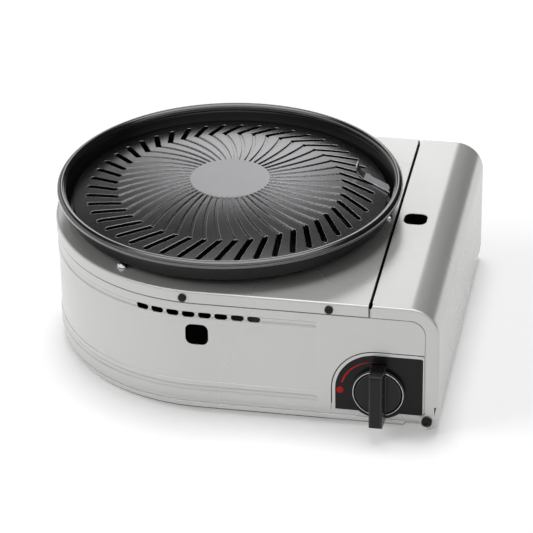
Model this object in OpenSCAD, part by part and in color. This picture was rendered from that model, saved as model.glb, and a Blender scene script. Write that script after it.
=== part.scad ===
// Tabletop gas grill: a D-shaped sheet-metal casing with a cartridge bay under a hinged cover on its right,
// a control knob on its front, and a water tray with a domed, slotted grill plate on its top.
// Millimetres, +Z up. Pieces are drawn about the axis of the tray, then placed with the middle of the
// footprint at the origin.

/* [Casing] */
// Radius of the round end, and half the depth of the casing
body_r = 129; // [122:0.5:140]
// Distance from the tray axis to the right wall
body_right = 173; // [168:0.5:185]
// Height of the top plate above the table
top_z = 101; // [97:0.5:110]
// Thickness of the casing sheet
sheet = 0.8; // [0.6:0.1:1]
// Rounding of the top edges
edge_r = 3.5; // [2.5:0.25:5]
// Height of the turned-down skirt
skirt_h = 9.3; // [8:0.1:11]
// Where the top plate ends, from the tray axis
seam_x = 123.7; // [121:0.1:126]
// Gap between the top plate and the cover
seam_gap = 1.4; // [1:0.1:2]
// Width that the bend relief adds on each side of the seam
relief_w = 0.6; // [0.4:0.1:0.8]
// Length of the bend relief beyond the rounding
relief_l = 1.5; // [1:0.1:2]
// Width of the shadow line round the front field
line_gap = 0.7; // [0.5:0.1:1]
// Radius of the flame opening in the top plate
opening_r = 66; // [62:0.5:70]
// Height of the rim round the flame opening
opening_rim = 2; // [1:0.25:2.5]

/* [Base] */
// Height of the feet
foot_h = 3.9; // [3:0.1:6]
// Radius of a foot
foot_r = 6.75; // [5:0.25:8]
// Rounding of the lower edge of the pan
base_r = 6.4; // [5:0.1:7]
// Height of the lower edge of the side wall
band_z = 13.5; // [12:0.1:15]
// Distance of the right feet from the tray axis
foot_x = 92; // [85:1:100]
// Distance of the feet from the edge of the pan
foot_in = 15.7; // [14:0.1:20]

/* [Front and back field] */
// Height of the middle of the upper bead
bead_z = 82; // [78:0.1:84]
// Height of the middle of the lower bead
low_bead_z = 21.4; // [20:0.1:24]
// Width of a bead
bead_w = 5.2; // [4.6:0.1:6]
// Depth of a bead
bead_d = 0.9; // [0.6:0.05:1.1]
// Distance of the bead ends from the tray axis
bead_x = 87; // [80:0.5:90]
// Depth of the pressed field between the beads
field_d = 0.3; // [0.2:0.05:0.4]
// Number of vents in a row
vent_n = 8; // [4:2:10]
// Pitch of the vents
vent_pitch = 11.8; // [11:0.1:13]
// Length of a vent
vent_l = 9.4; // [8:0.1:10]
// Height of a vent
vent_h = 4.6; // [4:0.1:4.8]
// Side of the square window
window_w = 16.6; // [12:0.1:20]
// Corner radius of the square window
window_r = 5; // [3:0.1:6]
// Height of the middle of the window
window_z = 65.9; // [60:0.1:68]
// Distance of the left skirt screws from the tray axis, along the wall
left_screw_s = 9.5; // [6:0.1:14]
// Distance of the right skirt screws from the tray axis
right_screw_s = 95.1; // [86:0.1:95.1]
// Radius of a screw head
head_r = 3; // [2.5:0.1:3.5]
// Radius of a screw shank
shank_r = 1.6; // [1.2:0.1:2]

/* [Cover] */
// Outer radius of the upper right corner
corner_r = 21; // [17:0.5:24]
// Width of the flange
flange_w = 9.4; // [8:0.1:11]
// Radius of the pivot screws' shoulder
pivot_r = 2.5; // [2:0.1:3]
// Radius of the pivot screws' head
pivot_head_r = 3.8; // [3.4:0.1:4.5]
// Radius of the flange round the pivot
ear_r = 5.2; // [4.6:0.1:5.6]
// Side of the peep hole
peep_w = 17; // [12:0.5:22]
// Corner radius of the peep hole
peep_r = 6; // [4:0.5:6]
// Distance of the peep hole's middle from the right wall
peep_in = 35; // [32:0.5:36]

/* [Control panel] */
// Distance of the knob axis from the right wall
knob_in = 42.5; // [40:0.5:45]
// Height of the knob axis
knob_z = 32; // [31:0.5:34]
// Radius of the knob disc
knob_r = 18.6; // [16:0.1:20]
// Length of the grip bar
grip_l = 43; // [36:0.5:46]
// Width of the grip bar at its front
grip_w = 9.4; // [8:0.1:11]
// How far the knob stands out of the casing
knob_out = 17; // [14:0.5:22]
// Radius of the spindle
spindle_r = 4; // [3:0.1:4.5]
// Left edge of the panel, from the knob axis
panel_left = 31.3; // [30:0.1:33]
// Height of the panel's top edge
panel_top = 61; // [58:0.5:63]
// Radius of the large corner of the panel
panel_r = 29.3; // [24:0.1:30]
// Radius of the bulge under the knob
bulge_r = 23; // [22:0.1:24]
// Width of the bezel
bezel_w = 2.4; // [1.5:0.1:3]

/* [Water tray] */
// Height of the studs under the tray
stud_h = 4; // [3:0.25:5]
// Distance of the studs' middle from the edge of the tray's foot
stud_in = 2.5; // [2:0.1:4]
// Distance of the tray's foot from the side of the casing
tray_in = 9.2; // [8:0.1:12]
// How far the rolled rim stands out over the tray's foot
rim_over = 7.6; // [7:0.1:8.5]
// Radius of the roll
rim_r = 3.1; // [2.5:0.1:3.5]
// Height of the tray
tray_h = 19; // [18:0.5:22]
// Thickness of the tray
tray_t = 1.2; // [1:0.1:1.5]
// Radius of the flame hole in the tray
flue_r = 58; // [54:0.5:60]
// Height of the collar round the flame hole
collar_h = 7.5; // [6:0.5:8]

/* [Grill plate] */
// Gap between the plate and the wall of the tray
plate_gap = 2.8; // [2.4:0.1:4]
// Radius of the dome
dome_r = 530; // [500:5:700]
// Height of the plate's edge above the tray's floor
edge_h = 1.85; // [0.5:0.05:3]
// Thickness of the plate
plate_t = 3; // [2.5:0.1:3.2]
// Height of the turned-down edge
lip_h = 4; // [3:0.1:4.5]
// Radius of the flat disc in the middle
disc_r = 29.3; // [24:0.1:32]
// Number of slots and grooves
slot_n = 48; // [40:1:52]
// Turn of the whole pattern of slots and grooves
pattern_turn = -0.45; // [-4:0.05:4]
// Width of a slot
slot_w = 4.2; // [3.5:0.1:4.6]
// Distance between the rings of a slot's ends
slot_l = 24.4; // [20:0.1:27]
// Distance of a slot's outer end from the edge of the plate
slot_edge = 9.3; // [9:0.1:14]
// Turn of a slot between its ends
slot_turn = 7.4; // [4:0.1:9]
// Width of a groove
groove_w = 2.4; // [1.2:0.1:2.8]
// Depth of a groove
groove_d = 0.8; // [0.4:0.1:1]
// Turn of a groove between its ends
groove_turn = 10.5; // [6:0.5:13]
// Radius of a groove's curve
groove_r = 146; // [120:1:220]

/* [Lifting tab] */
// Distance of the tab's inner end from the edge of the plate, along X
tab_in = 20.4; // [19:0.1:22]
// Place of the tab's near corner along Y
tab_y = 27.5; // [26:0.1:29]
// Length of the end edges
tab_w = 13.5; // [10:0.1:14]
// Thickness of the strip
tab_t = 1; // [0.8:0.1:1.2]
// Radius of the curled lip
curl_r = 7; // [5:0.25:8]

/* [Burner] */
// Radius of the burner cap
burner_r = 44; // [38:0.5:48]
// Height of the burner cap below the top plate's surface
burner_drop = 7; // [6:0.5:9]
// Number of flame ports
port_n = 36; // [24:1:42]
// Outer radius of the mixing tube
tube_r = 8.7; // [8:0.1:9.5]

/* [Cartridge bay] */
// Distance of the partition from the tray axis
partition_x = 97; // [95:0.5:98]
// Radius of the gas cartridge
cartridge_r = 34; // [33.5:0.1:34.5]
// Distance of the cartridge axis from the right wall
cartridge_in = 37; // [36.5:0.1:37.5]
// Height of the cartridge axis
cartridge_z = 48; // [45:0.5:50]
// Distance of the receiver plate behind the front
receiver_in = 49.5; // [48:0.5:54]

/* [Hidden] */
$fn = 96;

// Clearances
fit_gap = 0.4;
seat_gap = 0.1;
run_gap = 0.06;
lift_gap = 0.2;
room_gap = 0.3;
over = 1;
hair = 0.01;
root = 0.5;
cut_l = 4;

// Layers of sheet, as distances from the tray axis
skirt_in = body_r - sheet;
step_out = skirt_in - fit_gap;
step_in = step_out - sheet;
wall_out = step_out + sheet;
pan_out = step_out - seat_gap;
pan_in = pan_out - sheet;
room = pan_in - room_gap;

// Heights of the casing
floor_z = foot_h + sheet;
pivot_z = foot_h + base_r;
under_z = top_z - sheet;
skirt_z = top_z - skirt_h;
field_top = skirt_z - line_gap;
bead_room = 0.6;
pan_top = low_bead_z - bead_w / 2 - bead_room;
ledge_z = under_z - fit_gap - sheet;

// Places along X
swing_gap = 0.8;
pivot_x = body_right - sheet - swing_gap - base_r;
pan_right = pivot_x + base_r;
cover_x = seam_x + seam_gap;
cover_rise = 2.6;
cover_low = pivot_z + cover_rise;
wall_lap_x = 0.5;
wall_right = body_right - edge_r + wall_lap_x;
pan_corner = 4;
ledge_w = 8;
peep_y = 1;
ear_lap = 2;
ear_h = 12;
corner_x = body_right - corner_r;
corner_z = top_z - corner_r;
flange_x = body_right - flange_w;
field_x = flange_x - line_gap;
field_r = corner_r - flange_w - line_gap;
knob_x = body_right - knob_in;
cartridge_x = body_right - cartridge_in;
peep_x = body_right - peep_in;

// Screws
pivot_head_h = 2.4;
thread_step = 0.5;
thread_r = pivot_r - thread_step;
recess_r = 1.5;
recess_d = 1;
head_h = 2.2;
head_flat = 0.55;
head_crown = 0.6;
floor_head_h = 1.8;
foot_head_h = 1.2;
screw_l = 6;
screw_drop = 0.8;
foot_turn = 135;
foot_bevel = 1.2;
foot_web = 1.4;
cradle_screw_y = [-20, 40];
stud_r = 4.2;
stud_foot_r = 5;
stud_shank = 1;

// Pressed shapes of the wall
field_room = 3.5;
field_room_top = 4;
field_low = low_bead_z + bead_w / 2 + field_room;
field_high = bead_z - bead_w / 2 - field_room_top;
field_corner = 4;
vent_depth = 6;
bead_r = (bead_w * bead_w / 4 + bead_d * bead_d) / (2 * bead_d);
bead_at = wall_out + bead_r - bead_d;

// Control panel, measured out from the tray axis
bezel_back = step_in;
panel_t = 0.6;
panel_face = step_out + panel_t;
panel_right = field_x - line_gap - panel_t;
panel_low = band_z + line_gap;
panel_slack = 0.15;
panel_room = 0.5;
bulge_room = 2;
bezel_right = field_x - lift_gap;
bezel_lap = 3;
panel_corner = 1.5;
shaft_hole_r = spindle_r + 2;
knob_h = body_r + knob_out - panel_face;
knob_front_t = 4;
disc_h = 4.4;
disc_bevel = 1.5;
ring_w = 1.1;
ring_h = 1.5;
ring_edge = 0.6;
ring_flat = 0.3;
grip_draft = 1.6;
grip_edge = 0.9;
grip_base_w = grip_w + grip_draft;
grip_r = 2.4;
grip_root = 1;

// Tray and plate
tray_r = body_r - tray_in;
stud_at = tray_r - stud_in;
tray_z = top_z + stud_h + lift_gap;
tray_floor = tray_z + tray_t;
wall_flare = 0.2;
tray_inner = tray_r - tray_t + wall_flare;
rim_at = tray_r + rim_over - rim_r;
rim_z = tray_z + tray_h - rim_r;
tray_corner = 1.5;
flue_bevel = 2;
wall_lap = 0.8;
plate_r = tray_inner - plate_gap;
slot_out = plate_r - slot_edge;
slot_in = slot_out - slot_l;
groove_lap = 0.5;
crown_h = edge_h + lip_h + dome_r - sqrt(dome_r * dome_r - plate_r * plate_r);
crown_z = tray_floor + crown_h;
leg_z = tray_floor + lift_gap;
leg_r = 4;
leg_in = 5;
leg_at = plate_r - leg_in;
edge_w = 3;
function dome_z(r) = crown_z - dome_r + sqrt(dome_r * dome_r - r * r);
disc_z = dome_z(disc_r);

// Lifting tab
tab_slant = -0.53;
tab_lap = 1;
tab_x = plate_r - tab_in;
tab_end_x = plate_r - tab_lap;
tab_inner_z = dome_z(norm([tab_x, tab_y])) + room_gap;
tab_outer_z = dome_z(tab_end_x) + room_gap + panel_slack;
tab_tilt = atan2(tab_inner_z - tab_outer_z, tab_end_x - tab_x);
tab_len = norm([tab_end_x - tab_x, tab_inner_z - tab_outer_z]);
hook_r = 1.6;
hook_l = 2.2;
tab_reach = 10;

// Burner and gas line
burner_z = top_z - burner_drop;
cap_h = 8;
bowl_z = burner_z - cap_h;
cap_over = 2;
bowl_r = burner_r - cap_over;
bowl_t = 2;
bowl_edge = 4;
bowl_draw = 3;
cap_t = 2.5;
cap_in = 4;
cap_edge = 3;
cap_bevel = 5;
dimple_r = 12;
dimple_d = 1;
port_l = 12;
port_w = 1.6;
port_h = 2.4;
port_up = 0.8;
bowl_h = 21;
shoulder_z = bowl_z - bowl_h;
shoulder_r = 26;
stem_l = 8;
socket_r = tube_r;
tube_t = 1;
tube_bend = 18.5;
tube_z = knob_z;
bell_flare = 3;
bell_r = tube_r + bell_flare;
bell_l = 8;
valve_r = 11;
valve_front = bezel_back;
valve_l = 23;
valve_end = 3;
valve_flange_t = 2;
valve_flange_l = 42;
outlet_in = 12;
outlet_at = valve_front - outlet_in;
line_angle = atan2(outlet_at, knob_x);
line_l = norm([knob_x, outlet_at]);
outlet_l = 18;
outlet_r = 6;
nozzle_r = 3.5;
nozzle_hex_r = 6;
nozzle_hex_l = 6;
nozzle_tip_r = 2;
nozzle_tip_l = 4;
nozzle_room = 4;
nozzle_lap = 6;
tube_end = (partition_x - over - bell_r * sin(line_angle)) / cos(line_angle);
nozzle_end = tube_end - nozzle_lap;
governor_back = body_r - receiver_in;
governor_front = valve_front - valve_l;
governor_r = 19;
governor_rim = 3;
governor_step = 2;
governor_neck = 12;
seal_bore_r = 8;
seal_bore_d = 7;
seal_r = 2.1;
boss_r = 12.6;
magnet_size = [8, 4, 20];
magnet_at = 21;
receiver_t = 1.5;
receiver_y = -governor_back;
receiver_right = pan_right - sheet - fit_gap;
receiver_over = 4;
receiver_top = cartridge_z + cartridge_r + receiver_over;
receiver_corner = 16;
partition_foot = 8;
partition_foot_in = 20;
saddle_y = [-40, 60];
saddle_w = 56;
saddle_h = 24;
saddle_t = 1.2;
strap_w = 18;

// Burner bracket and ignition
bracket_t = 1.2;
bracket_leg_w = 12;
bracket_foot_l = 12;
bracket_gap = 1;
bracket_leg_at = shoulder_r + bracket_gap;
electrode_a = -62;
spark_gap = 4.5;
electrode_at = burner_r + spark_gap;
insulator_r = 3;
insulator_collar_r = 4.5;
insulator_collar_h = 3;
insulator_end = 2;
pin_r = 1;
pin_drop = 3;
pin_hook = 2.5;
ear_w = 12;
ear_root = 20;
piezo_size = [30, 12, 13];
rib_x = [7, 13, 19];
rib_size = [2, 7];
rib_z = 3;
plunger_r = 3;
plunger_l = 5;
piezo_left = 18.5;
piezo_in = 3;
piezo_x = knob_x - piezo_left;
piezo_y = -valve_front + piezo_in;
piezo_lug_t = 2;
piezo_z = knob_z + valve_r + piezo_lug_t;

// Ignition lead: from the piezo's left end, through the grommet, to the foot of the electrode
lead_r = 1.3;
lead_sides = 8;
lead_steps = 3;
lead_room = 0.2;
grommet_r = 5;
grommet_lip = 1.2;
electrode_xy = [electrode_at * cos(electrode_a), electrode_at * sin(electrode_a)];
insulator_drop = 8;
insulator_z = shoulder_z - insulator_drop;
lead_start = [piezo_x, piezo_y + piezo_size[1] / 2, piezo_z + piezo_size[2] / 2];
grommet_y = lead_start[1];
grommet_z = lead_start[2];
lead_step = 4;
lead_out = [partition_x, grommet_y, grommet_z];
lead_goal = [electrode_xy[0], electrode_xy[1], insulator_z];
lead_drop = [0, 0, lead_step];
lead_side = [lead_step, -lead_step, -2 * lead_step];
lead_bow = [0, -lead_step, 0];
lead_span = lead_goal + lead_side - lead_out;
lead_route = [
  lead_start + [lead_step, 0, 0], lead_start, lead_out + [lead_step, 0, 0],
  lead_out - [lead_step, 0, 0], lead_out - [2 * lead_step, 0, 0],
  lead_out + 0.35 * lead_span + 1.5 * lead_bow, lead_out + 0.7 * lead_span + lead_bow,
  lead_goal + lead_side, lead_goal - lead_drop, lead_goal, lead_goal + lead_drop
];
lead_axis = [0.35, 0.85, 0.4];

// Middle of the footprint goes to the origin
module place() {
  translate([(body_r - body_right) / 2, (knob_out - room_gap - pivot_head_h) / 2, 0]) children();
}

// Flat shapes

module rounded_quarter(w, h, r) {
  square([w - r, h]);
  square([w, h - r]);
  translate([w - r, h - r]) circle(r);
}

module corner_plate(x0, x1, z0, z1, r) {
  translate([x0, z0]) rounded_quarter(x1 - x0, z1 - z0, r);
}

module rounded_square(w, h, r) {
  square([w - 2 * r, h], center = true);
  square([w, h - 2 * r], center = true);
  for (sx = [-1, 1], sy = [-1, 1]) translate([sx * (w / 2 - r), sy * (h / 2 - r)]) circle(r);
}

module slot_2d(l, h) {
  square([l - h, h], center = true);
  for (s = [-1, 1]) translate([s * (l - h) / 2, 0]) circle(h / 2);
}

// Sweeps

// A section in (distance, height) goes round the left end and along both straight sides
module d_sweep(length) {
  rotate([0, 0, 90]) rotate_extrude(angle = 180) children();
  for (side = [0, 1]) mirror([0, side, 0]) rotate([90, 0, 90]) linear_extrude(length) children();
}

// A section in (x, z) is drawn through the whole depth
module along_y(depth) {
  rotate([90, 0, 0]) linear_extrude(depth, center = true) children();
}

// A flat shape in (x, z) becomes a plate on the front, with its outer face at the given distance
module front_plate(outer, t) {
  translate([0, t - outer, 0]) rotate([90, 0, 0]) linear_extrude(t) children();
}

module both_sides() {
  children();
  mirror([0, 1, 0]) children();
}

// A place on the front wall by its length along the wall from the tray axis, with Z out of the wall
module on_wall(s, z, dist) {
  turn = s < 0 ? s / body_r * 180 / PI : 0;
  rotate([0, 0, turn]) translate([max(s, 0), -dist, z]) rotate([90, 0, 0]) children();
}

module pan_head(r, h) {
  cylinder(r = r, h = h * head_flat);
  translate([0, 0, h * head_flat]) cylinder(r1 = r, r2 = r * head_crown, h = h * (1 - head_flat));
}

// Casing

module pan_section(inset, rise) {
  translate([0, pan_top + rise]) mirror([0, 1, 0])
    rounded_quarter(pan_out - inset, pan_top + rise - foot_h - inset, base_r - inset);
}

module pan_form(inset, rise) {
  intersection() {
    d_sweep(pan_right + over) pan_section(inset, rise);
    along_y(3 * body_r) translate([-2 * body_r, pan_top + rise]) mirror([0, 1, 0])
      rounded_quarter(2 * body_r + pan_right - inset, pan_top + rise - foot_h - inset, base_r - inset);
    linear_extrude(3 * top_z) both_sides() translate([-2 * body_r, 0])
      rounded_quarter(2 * body_r + pan_right - inset, pan_out - inset, pan_corner - inset);
  }
}

module at_feet() {
  foot_y = pan_out - foot_in;
  for (side = [-1, 1]) {
    translate([foot_x, side * foot_y, 0]) children();
    rotate([0, 0, side * foot_turn]) translate([foot_y, 0, 0]) children();
  }
}

module at_floor_screws() {
  for (i = [0 : 2]) rotate([0, 0, 60 - line_angle + 120 * i])
    translate([bracket_leg_at + bracket_t + bracket_foot_l / 2, 0, 0]) children();
  for (y = cradle_screw_y) translate([cartridge_x, y, 0]) children();
}

module base_pan() {
  color("silver") place() difference() {
    pan_form(0, 0);
    pan_form(sheet, over);
    at_feet() cylinder(r = shank_r + seat_gap, h = floor_z + over);
    at_floor_screws() cylinder(r = shank_r + seat_gap, h = floor_z + over);
    both_sides() translate([pivot_x, -pan_in + over, pivot_z]) rotate([90, 0, 0])
      cylinder(r = thread_r + seat_gap, h = 2 * over + sheet);
  }
}

// Front and back field of the wall, flush with the skirt and the cover
module field_2d(inset) {
  corner_plate(0, field_x - inset, band_z, field_top - inset, field_r - inset);
}

module wall_section() {
  translate([step_out, band_z]) square([sheet, field_top - band_z]);
  translate([step_in, field_top - sheet]) square([2 * sheet, sheet]);
  translate([step_in, field_top - sheet]) square([sheet, top_z - edge_r - field_top + sheet]);
}

module straight_wall() {
  front_plate(wall_out, sheet) field_2d(0);
  front_plate(wall_out, 2 * sheet) difference() {
    field_2d(0);
    translate([-over, 0]) square([over + hair, field_top]);
    field_2d(sheet);
  }
  front_plate(step_out, sheet) difference() {
    corner_plate(0, wall_right, pan_top + room_gap, top_z - edge_r, corner_r - edge_r);
    field_2d(sheet);
  }
}

// A bead runs round the wall and ends in a round dimple on each straight side
module bead_form(z, r) {
  rotate([0, 0, 90]) rotate_extrude(angle = 180) translate([bead_at, z]) circle(r);
  both_sides() {
    translate([0, -bead_at, z]) rotate([0, 90, 0]) cylinder(r = r, h = bead_x - bead_w / 2);
    translate([bead_x - bead_w / 2, -bead_at, z]) sphere(r);
  }
}

module bead_backs() {
  intersection() {
    for (z = [low_bead_z, bead_z]) bead_form(z, bead_r + sheet);
    d_sweep(bead_x + bead_w) translate([step_in - sheet, band_z])
      square([2 * sheet + fit_gap, field_top - band_z]);
  }
}

module pressed_field() {
  tall = field_high - field_low;
  rotate([0, 0, 90]) rotate_extrude(angle = 180) translate([wall_out - field_d, field_low])
    square([over, tall]);
  both_sides() front_plate(wall_out + over, field_d + over) difference() {
    translate([bead_x / 2, (field_low + field_high) / 2])
      rounded_square(bead_x + 2 * field_corner, tall, field_corner);
    translate([-bead_x, 0]) square([bead_x, top_z]);
    translate([bead_x, 0]) square([bead_x, top_z]);
  }
}

module vents() {
  both_sides() {
    for (i = [0 : vent_n - 1]) on_wall((i - (vent_n - 1) / 2) * vent_pitch, bead_z, wall_out - vent_depth / 2)
      linear_extrude(vent_depth) slot_2d(vent_l, vent_h);
    on_wall(0, window_z, wall_out - vent_depth / 2) linear_extrude(vent_depth)
      rounded_square(window_w, window_w, window_r);
  }
}

// Outline of the control panel, grown by a margin
module panel_2d(margin, right, low) {
  left = knob_x - panel_left - margin;
  r = panel_r + margin;
  arc_z = panel_top - panel_r;
  intersection() {
    translate([left + r, arc_z]) circle(r);
    translate([left, arc_z]) square(r);
  }
  translate([left, low]) square([r, arc_z - low]);
  corner_plate(left + r, right, low, panel_top + margin, panel_corner);
}

module bulge_2d(margin) {
  intersection() {
    translate([knob_x, knob_z]) circle(bulge_r + margin);
    translate([knob_x - bulge_r, knob_z - 2 * bulge_r]) square(2 * bulge_r);
  }
}

module skirt_screw_places(dist) {
  both_sides() for (s = [-left_screw_s, right_screw_s])
    on_wall(s, (top_z + skirt_z) / 2 - screw_drop, dist) children();
}

// Room for the cover's flange as it turns about the pivot
module pivot_room() {
  translate([pivot_x, pivot_z]) circle(ear_r + line_gap);
}

module side_wall() {
  color("silver") place() difference() {
    union() {
      rotate([0, 0, 90]) rotate_extrude(angle = 180) wall_section();
      both_sides() straight_wall();
      bead_backs();
    }
    bead_form(low_bead_z, bead_r);
    bead_form(bead_z, bead_r);
    pressed_field();
    vents();
    front_plate(wall_out + over, 3 * sheet + over)
      panel_2d(bezel_w + panel_room, field_x - sheet - seat_gap, 0);
    front_plate(wall_out + over, sheet + over + seat_gap)
      panel_2d(bezel_w + panel_room, field_x + over, 0);
    both_sides() front_plate(wall_out + over, 2 * sheet + over) pivot_room();
    skirt_screw_places(step_in - over) cylinder(r = shank_r + seat_gap, h = 3 * over);
  }
}

// Slots across the bend at both ends of the seam
module seam_reliefs() {
  both_sides() translate([seam_x - relief_w, -body_r - over, top_z - edge_r])
    cube([seam_gap + 2 * relief_w, edge_r + relief_l + over, edge_r + over]);
}

module top_section() {
  intersection() {
    difference() {
      rounded_quarter(body_r, top_z, edge_r);
      rounded_quarter(skirt_in, under_z, edge_r - sheet);
    }
    translate([0, skirt_z]) square([body_r + over, skirt_h + over]);
  }
}

module top_plate() {
  color("gainsboro") place() difference() {
    union() {
      d_sweep(seam_x) top_section();
      translate([seam_x - sheet, -room, ledge_z]) cube([sheet, 2 * room, under_z - ledge_z + sheet / 2]);
      translate([seam_x - sheet, -room, ledge_z]) cube([ledge_w, 2 * room, sheet]);
      translate([0, 0, under_z]) cylinder(r = opening_r + sheet, h = sheet + opening_rim);
    }
    translate([0, 0, under_z - over]) cylinder(r = opening_r, h = sheet + opening_rim + 2 * over);
    for (i = [0 : 2]) rotate([0, 0, 120 * i]) translate([stud_at, 0, under_z - over])
      cylinder(r = shank_r + seat_gap, h = sheet + 2 * over);
    skirt_screw_places(skirt_in - over) cylinder(r = shank_r + seat_gap, h = sheet + 2 * over);
    seam_reliefs();
  }
}

module tray_studs() {
  color("whitesmoke") place() for (i = [0 : 2]) rotate([0, 0, 120 * i]) translate([stud_at, 0, top_z]) {
    intersection() {
      translate([0, 0, stud_h - stud_r]) sphere(stud_r);
      cylinder(r = stud_foot_r, h = stud_h + over);
    }
    translate([0, 0, -sheet - stud_shank]) cylinder(r = shank_r, h = sheet + stud_shank + root);
  }
}

module skirt_screws() {
  color("black") place() skirt_screw_places(body_r) {
    pan_head(head_r, head_h);
    translate([0, 0, -screw_l]) cylinder(r = shank_r, h = screw_l + root);
  }
}

module pivot_screws() {
  shoulder_l = body_r + room_gap - pan_out;
  color("black") place() both_sides() translate([pivot_x, -body_r - room_gap, pivot_z]) rotate([90, 0, 0]) {
    difference() {
      pan_head(pivot_head_r, pivot_head_h);
      translate([0, 0, pivot_head_h - recess_d]) cylinder(r = recess_r, h = recess_d + over, $fn = 6);
    }
    translate([0, 0, -shoulder_l]) cylinder(r = pivot_r, h = shoulder_l + root);
    translate([0, 0, -screw_l]) cylinder(r = thread_r, h = screw_l);
  }
}

module feet() {
  hollow_r = foot_r / 2;
  hole_r = shank_r + seat_gap;
  color([0.1, 0.1, 0.1]) place() at_feet() rotate_extrude() polygon([
    [hollow_r, 0], [foot_r - foot_bevel, 0], [foot_r, foot_bevel], [foot_r, foot_h], [hole_r, foot_h],
    [hole_r, foot_h - foot_web], [hollow_r, foot_h - foot_web]
  ]);
}

module foot_screws() {
  color("dimgray") place() at_feet() {
    translate([0, 0, foot_h - foot_web - foot_head_h]) cylinder(r = foot_r / 2 - room_gap, h = foot_head_h);
    translate([0, 0, foot_h - foot_web - root]) cylinder(r = shank_r, h = screw_l);
  }
}

module floor_screws() {
  color("dimgray") place() at_floor_screws() {
    translate([0, 0, foot_h]) mirror([0, 0, 1]) pan_head(head_r, floor_head_h);
    translate([0, 0, foot_h - root]) cylinder(r = shank_r, h = screw_l);
  }
}

// Control panel

module control_bezel() {
  color("silver") place() difference() {
    union() {
      front_plate(wall_out, sheet) difference() {
        panel_2d(bezel_w, bezel_right, band_z + room_gap);
        panel_2d(panel_slack, panel_right + panel_slack, 0);
        bulge_2d(bulge_room);
        pivot_room();
      }
      front_plate(step_out, sheet)
        panel_2d(bezel_w + bezel_lap, field_x - sheet - room_gap, pan_top + room_gap);
    }
    translate([knob_x, -step_in + over, knob_z]) rotate([90, 0, 0]) cylinder(r = shaft_hole_r, h = cut_l);
  }
}

module knob_panel() {
  color([0.14, 0.14, 0.15]) place() difference() {
    front_plate(panel_face, panel_t) difference() {
      union() {
        panel_2d(0, panel_right, panel_low);
        bulge_2d(0);
      }
      pivot_room();
    }
    translate([knob_x, -step_in + over, knob_z]) rotate([90, 0, 0]) cylinder(r = shaft_hole_r, h = cut_l);
  }
}

// On the knob axis, with Z out of the panel
module on_knob() {
  translate([knob_x, -panel_face, knob_z]) rotate([90, 0, 0]) children();
}

module grip() {
  half = grip_l / 2;
  foot = grip_base_w / 2;
  tip = grip_w / 2;
  intersection() {
    rotate([90, 0, 0]) linear_extrude(grip_l, center = true)
      polygon([
        [-foot, grip_root], [foot, grip_root], [tip, knob_h - grip_edge], [tip - grip_edge, knob_h],
        [grip_edge - tip, knob_h], [-tip, knob_h - grip_edge]
      ]);
    rotate([90, 0, 90]) linear_extrude(2 * grip_base_w, center = true) union() {
      translate([-half, grip_root]) square([grip_l, knob_h - grip_r - grip_root]);
      translate([-half + grip_r, grip_root]) square([grip_l - 2 * grip_r, knob_h - grip_root]);
      for (s = [-1, 1]) translate([s * (half - grip_r), knob_h - grip_r]) circle(grip_r);
    }
  }
}

module knob() {
  color([0.16, 0.16, 0.17]) place() on_knob() difference() {
    union() {
      translate([0, 0, fit_gap]) cylinder(r = knob_r, h = disc_h - fit_gap - ring_h);
      translate([0, 0, disc_h - ring_h - seat_gap])
        cylinder(r1 = knob_r - ring_w - seat_gap, r2 = knob_r - ring_w - disc_bevel, h = ring_h + seat_gap);
      grip();
    }
    translate([0, 0, -over]) cylinder(r = spindle_r + run_gap, h = knob_h - knob_front_t + over);
  }
}

module knob_ring() {
  color("gainsboro") place() on_knob() translate([0, 0, disc_h - ring_h]) difference() {
    rotate_extrude() polygon([
      [knob_r - ring_w, 0], [knob_r, 0], [knob_r, ring_h * ring_edge], [knob_r - ring_w * ring_flat, ring_h],
      [knob_r - ring_w * (1 - ring_flat), ring_h], [knob_r - ring_w, ring_h * ring_edge]
    ]);
    cube([grip_base_w + 2 * seat_gap, 3 * knob_r, 4 * ring_h], center = true);
  }
}

module knob_spindle() {
  inner_end = valve_front - valve_l + valve_end + over - panel_face;
  outer_end = knob_h - knob_front_t - over;
  color("tan") place() on_knob() translate([0, 0, inner_end])
    cylinder(r = spindle_r, h = outer_end - inner_end);
}

// Gas line

module valve_body() {
  color("lightgray") place() difference() {
    union() {
      translate([knob_x, -valve_front + valve_l, knob_z]) rotate([90, 0, 0])
        cylinder(r = valve_r, h = valve_l);
      translate([knob_x, -valve_front + valve_flange_t, knob_z]) rotate([90, 0, 0])
        linear_extrude(valve_flange_t) slot_2d(valve_flange_l, 2 * valve_r);
      translate([piezo_x, piezo_y, knob_z]) cube([piezo_size[0], piezo_size[1], valve_r + piezo_lug_t]);
      translate([knob_x, -outlet_at, knob_z]) rotate([0, -90, -line_angle])
        cylinder(r = outlet_r, h = outlet_l);
    }
    translate([knob_x, -valve_front - over, knob_z]) rotate([-90, 0, 0])
      cylinder(r = spindle_r + run_gap, h = valve_l - valve_end + over);
  }
}

module governor() {
  color("silver") place() translate([cartridge_x, receiver_y, cartridge_z]) rotate([90, 0, 0]) difference() {
    rotate_extrude() polygon([
      [0, 0], [governor_r, 0], [governor_r, governor_rim],
      [governor_r - governor_step, governor_rim + governor_step], [governor_r - governor_step, governor_neck],
      [governor_r - 2 * governor_step, governor_front - governor_back], [0, governor_front - governor_back]
    ]);
    translate([0, 0, -over]) cylinder(r = seal_bore_r, h = seal_bore_d + over);
  }
}

module gas_seal() {
  color([0.12, 0.12, 0.12]) place() translate([cartridge_x, receiver_y, cartridge_z]) rotate([90, 0, 0])
    translate([0, 0, seal_bore_d - seal_r - seat_gap]) rotate_extrude()
      translate([seal_bore_r - seal_r - seat_gap, 0]) circle(seal_r, $fn = 24);
}

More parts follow.
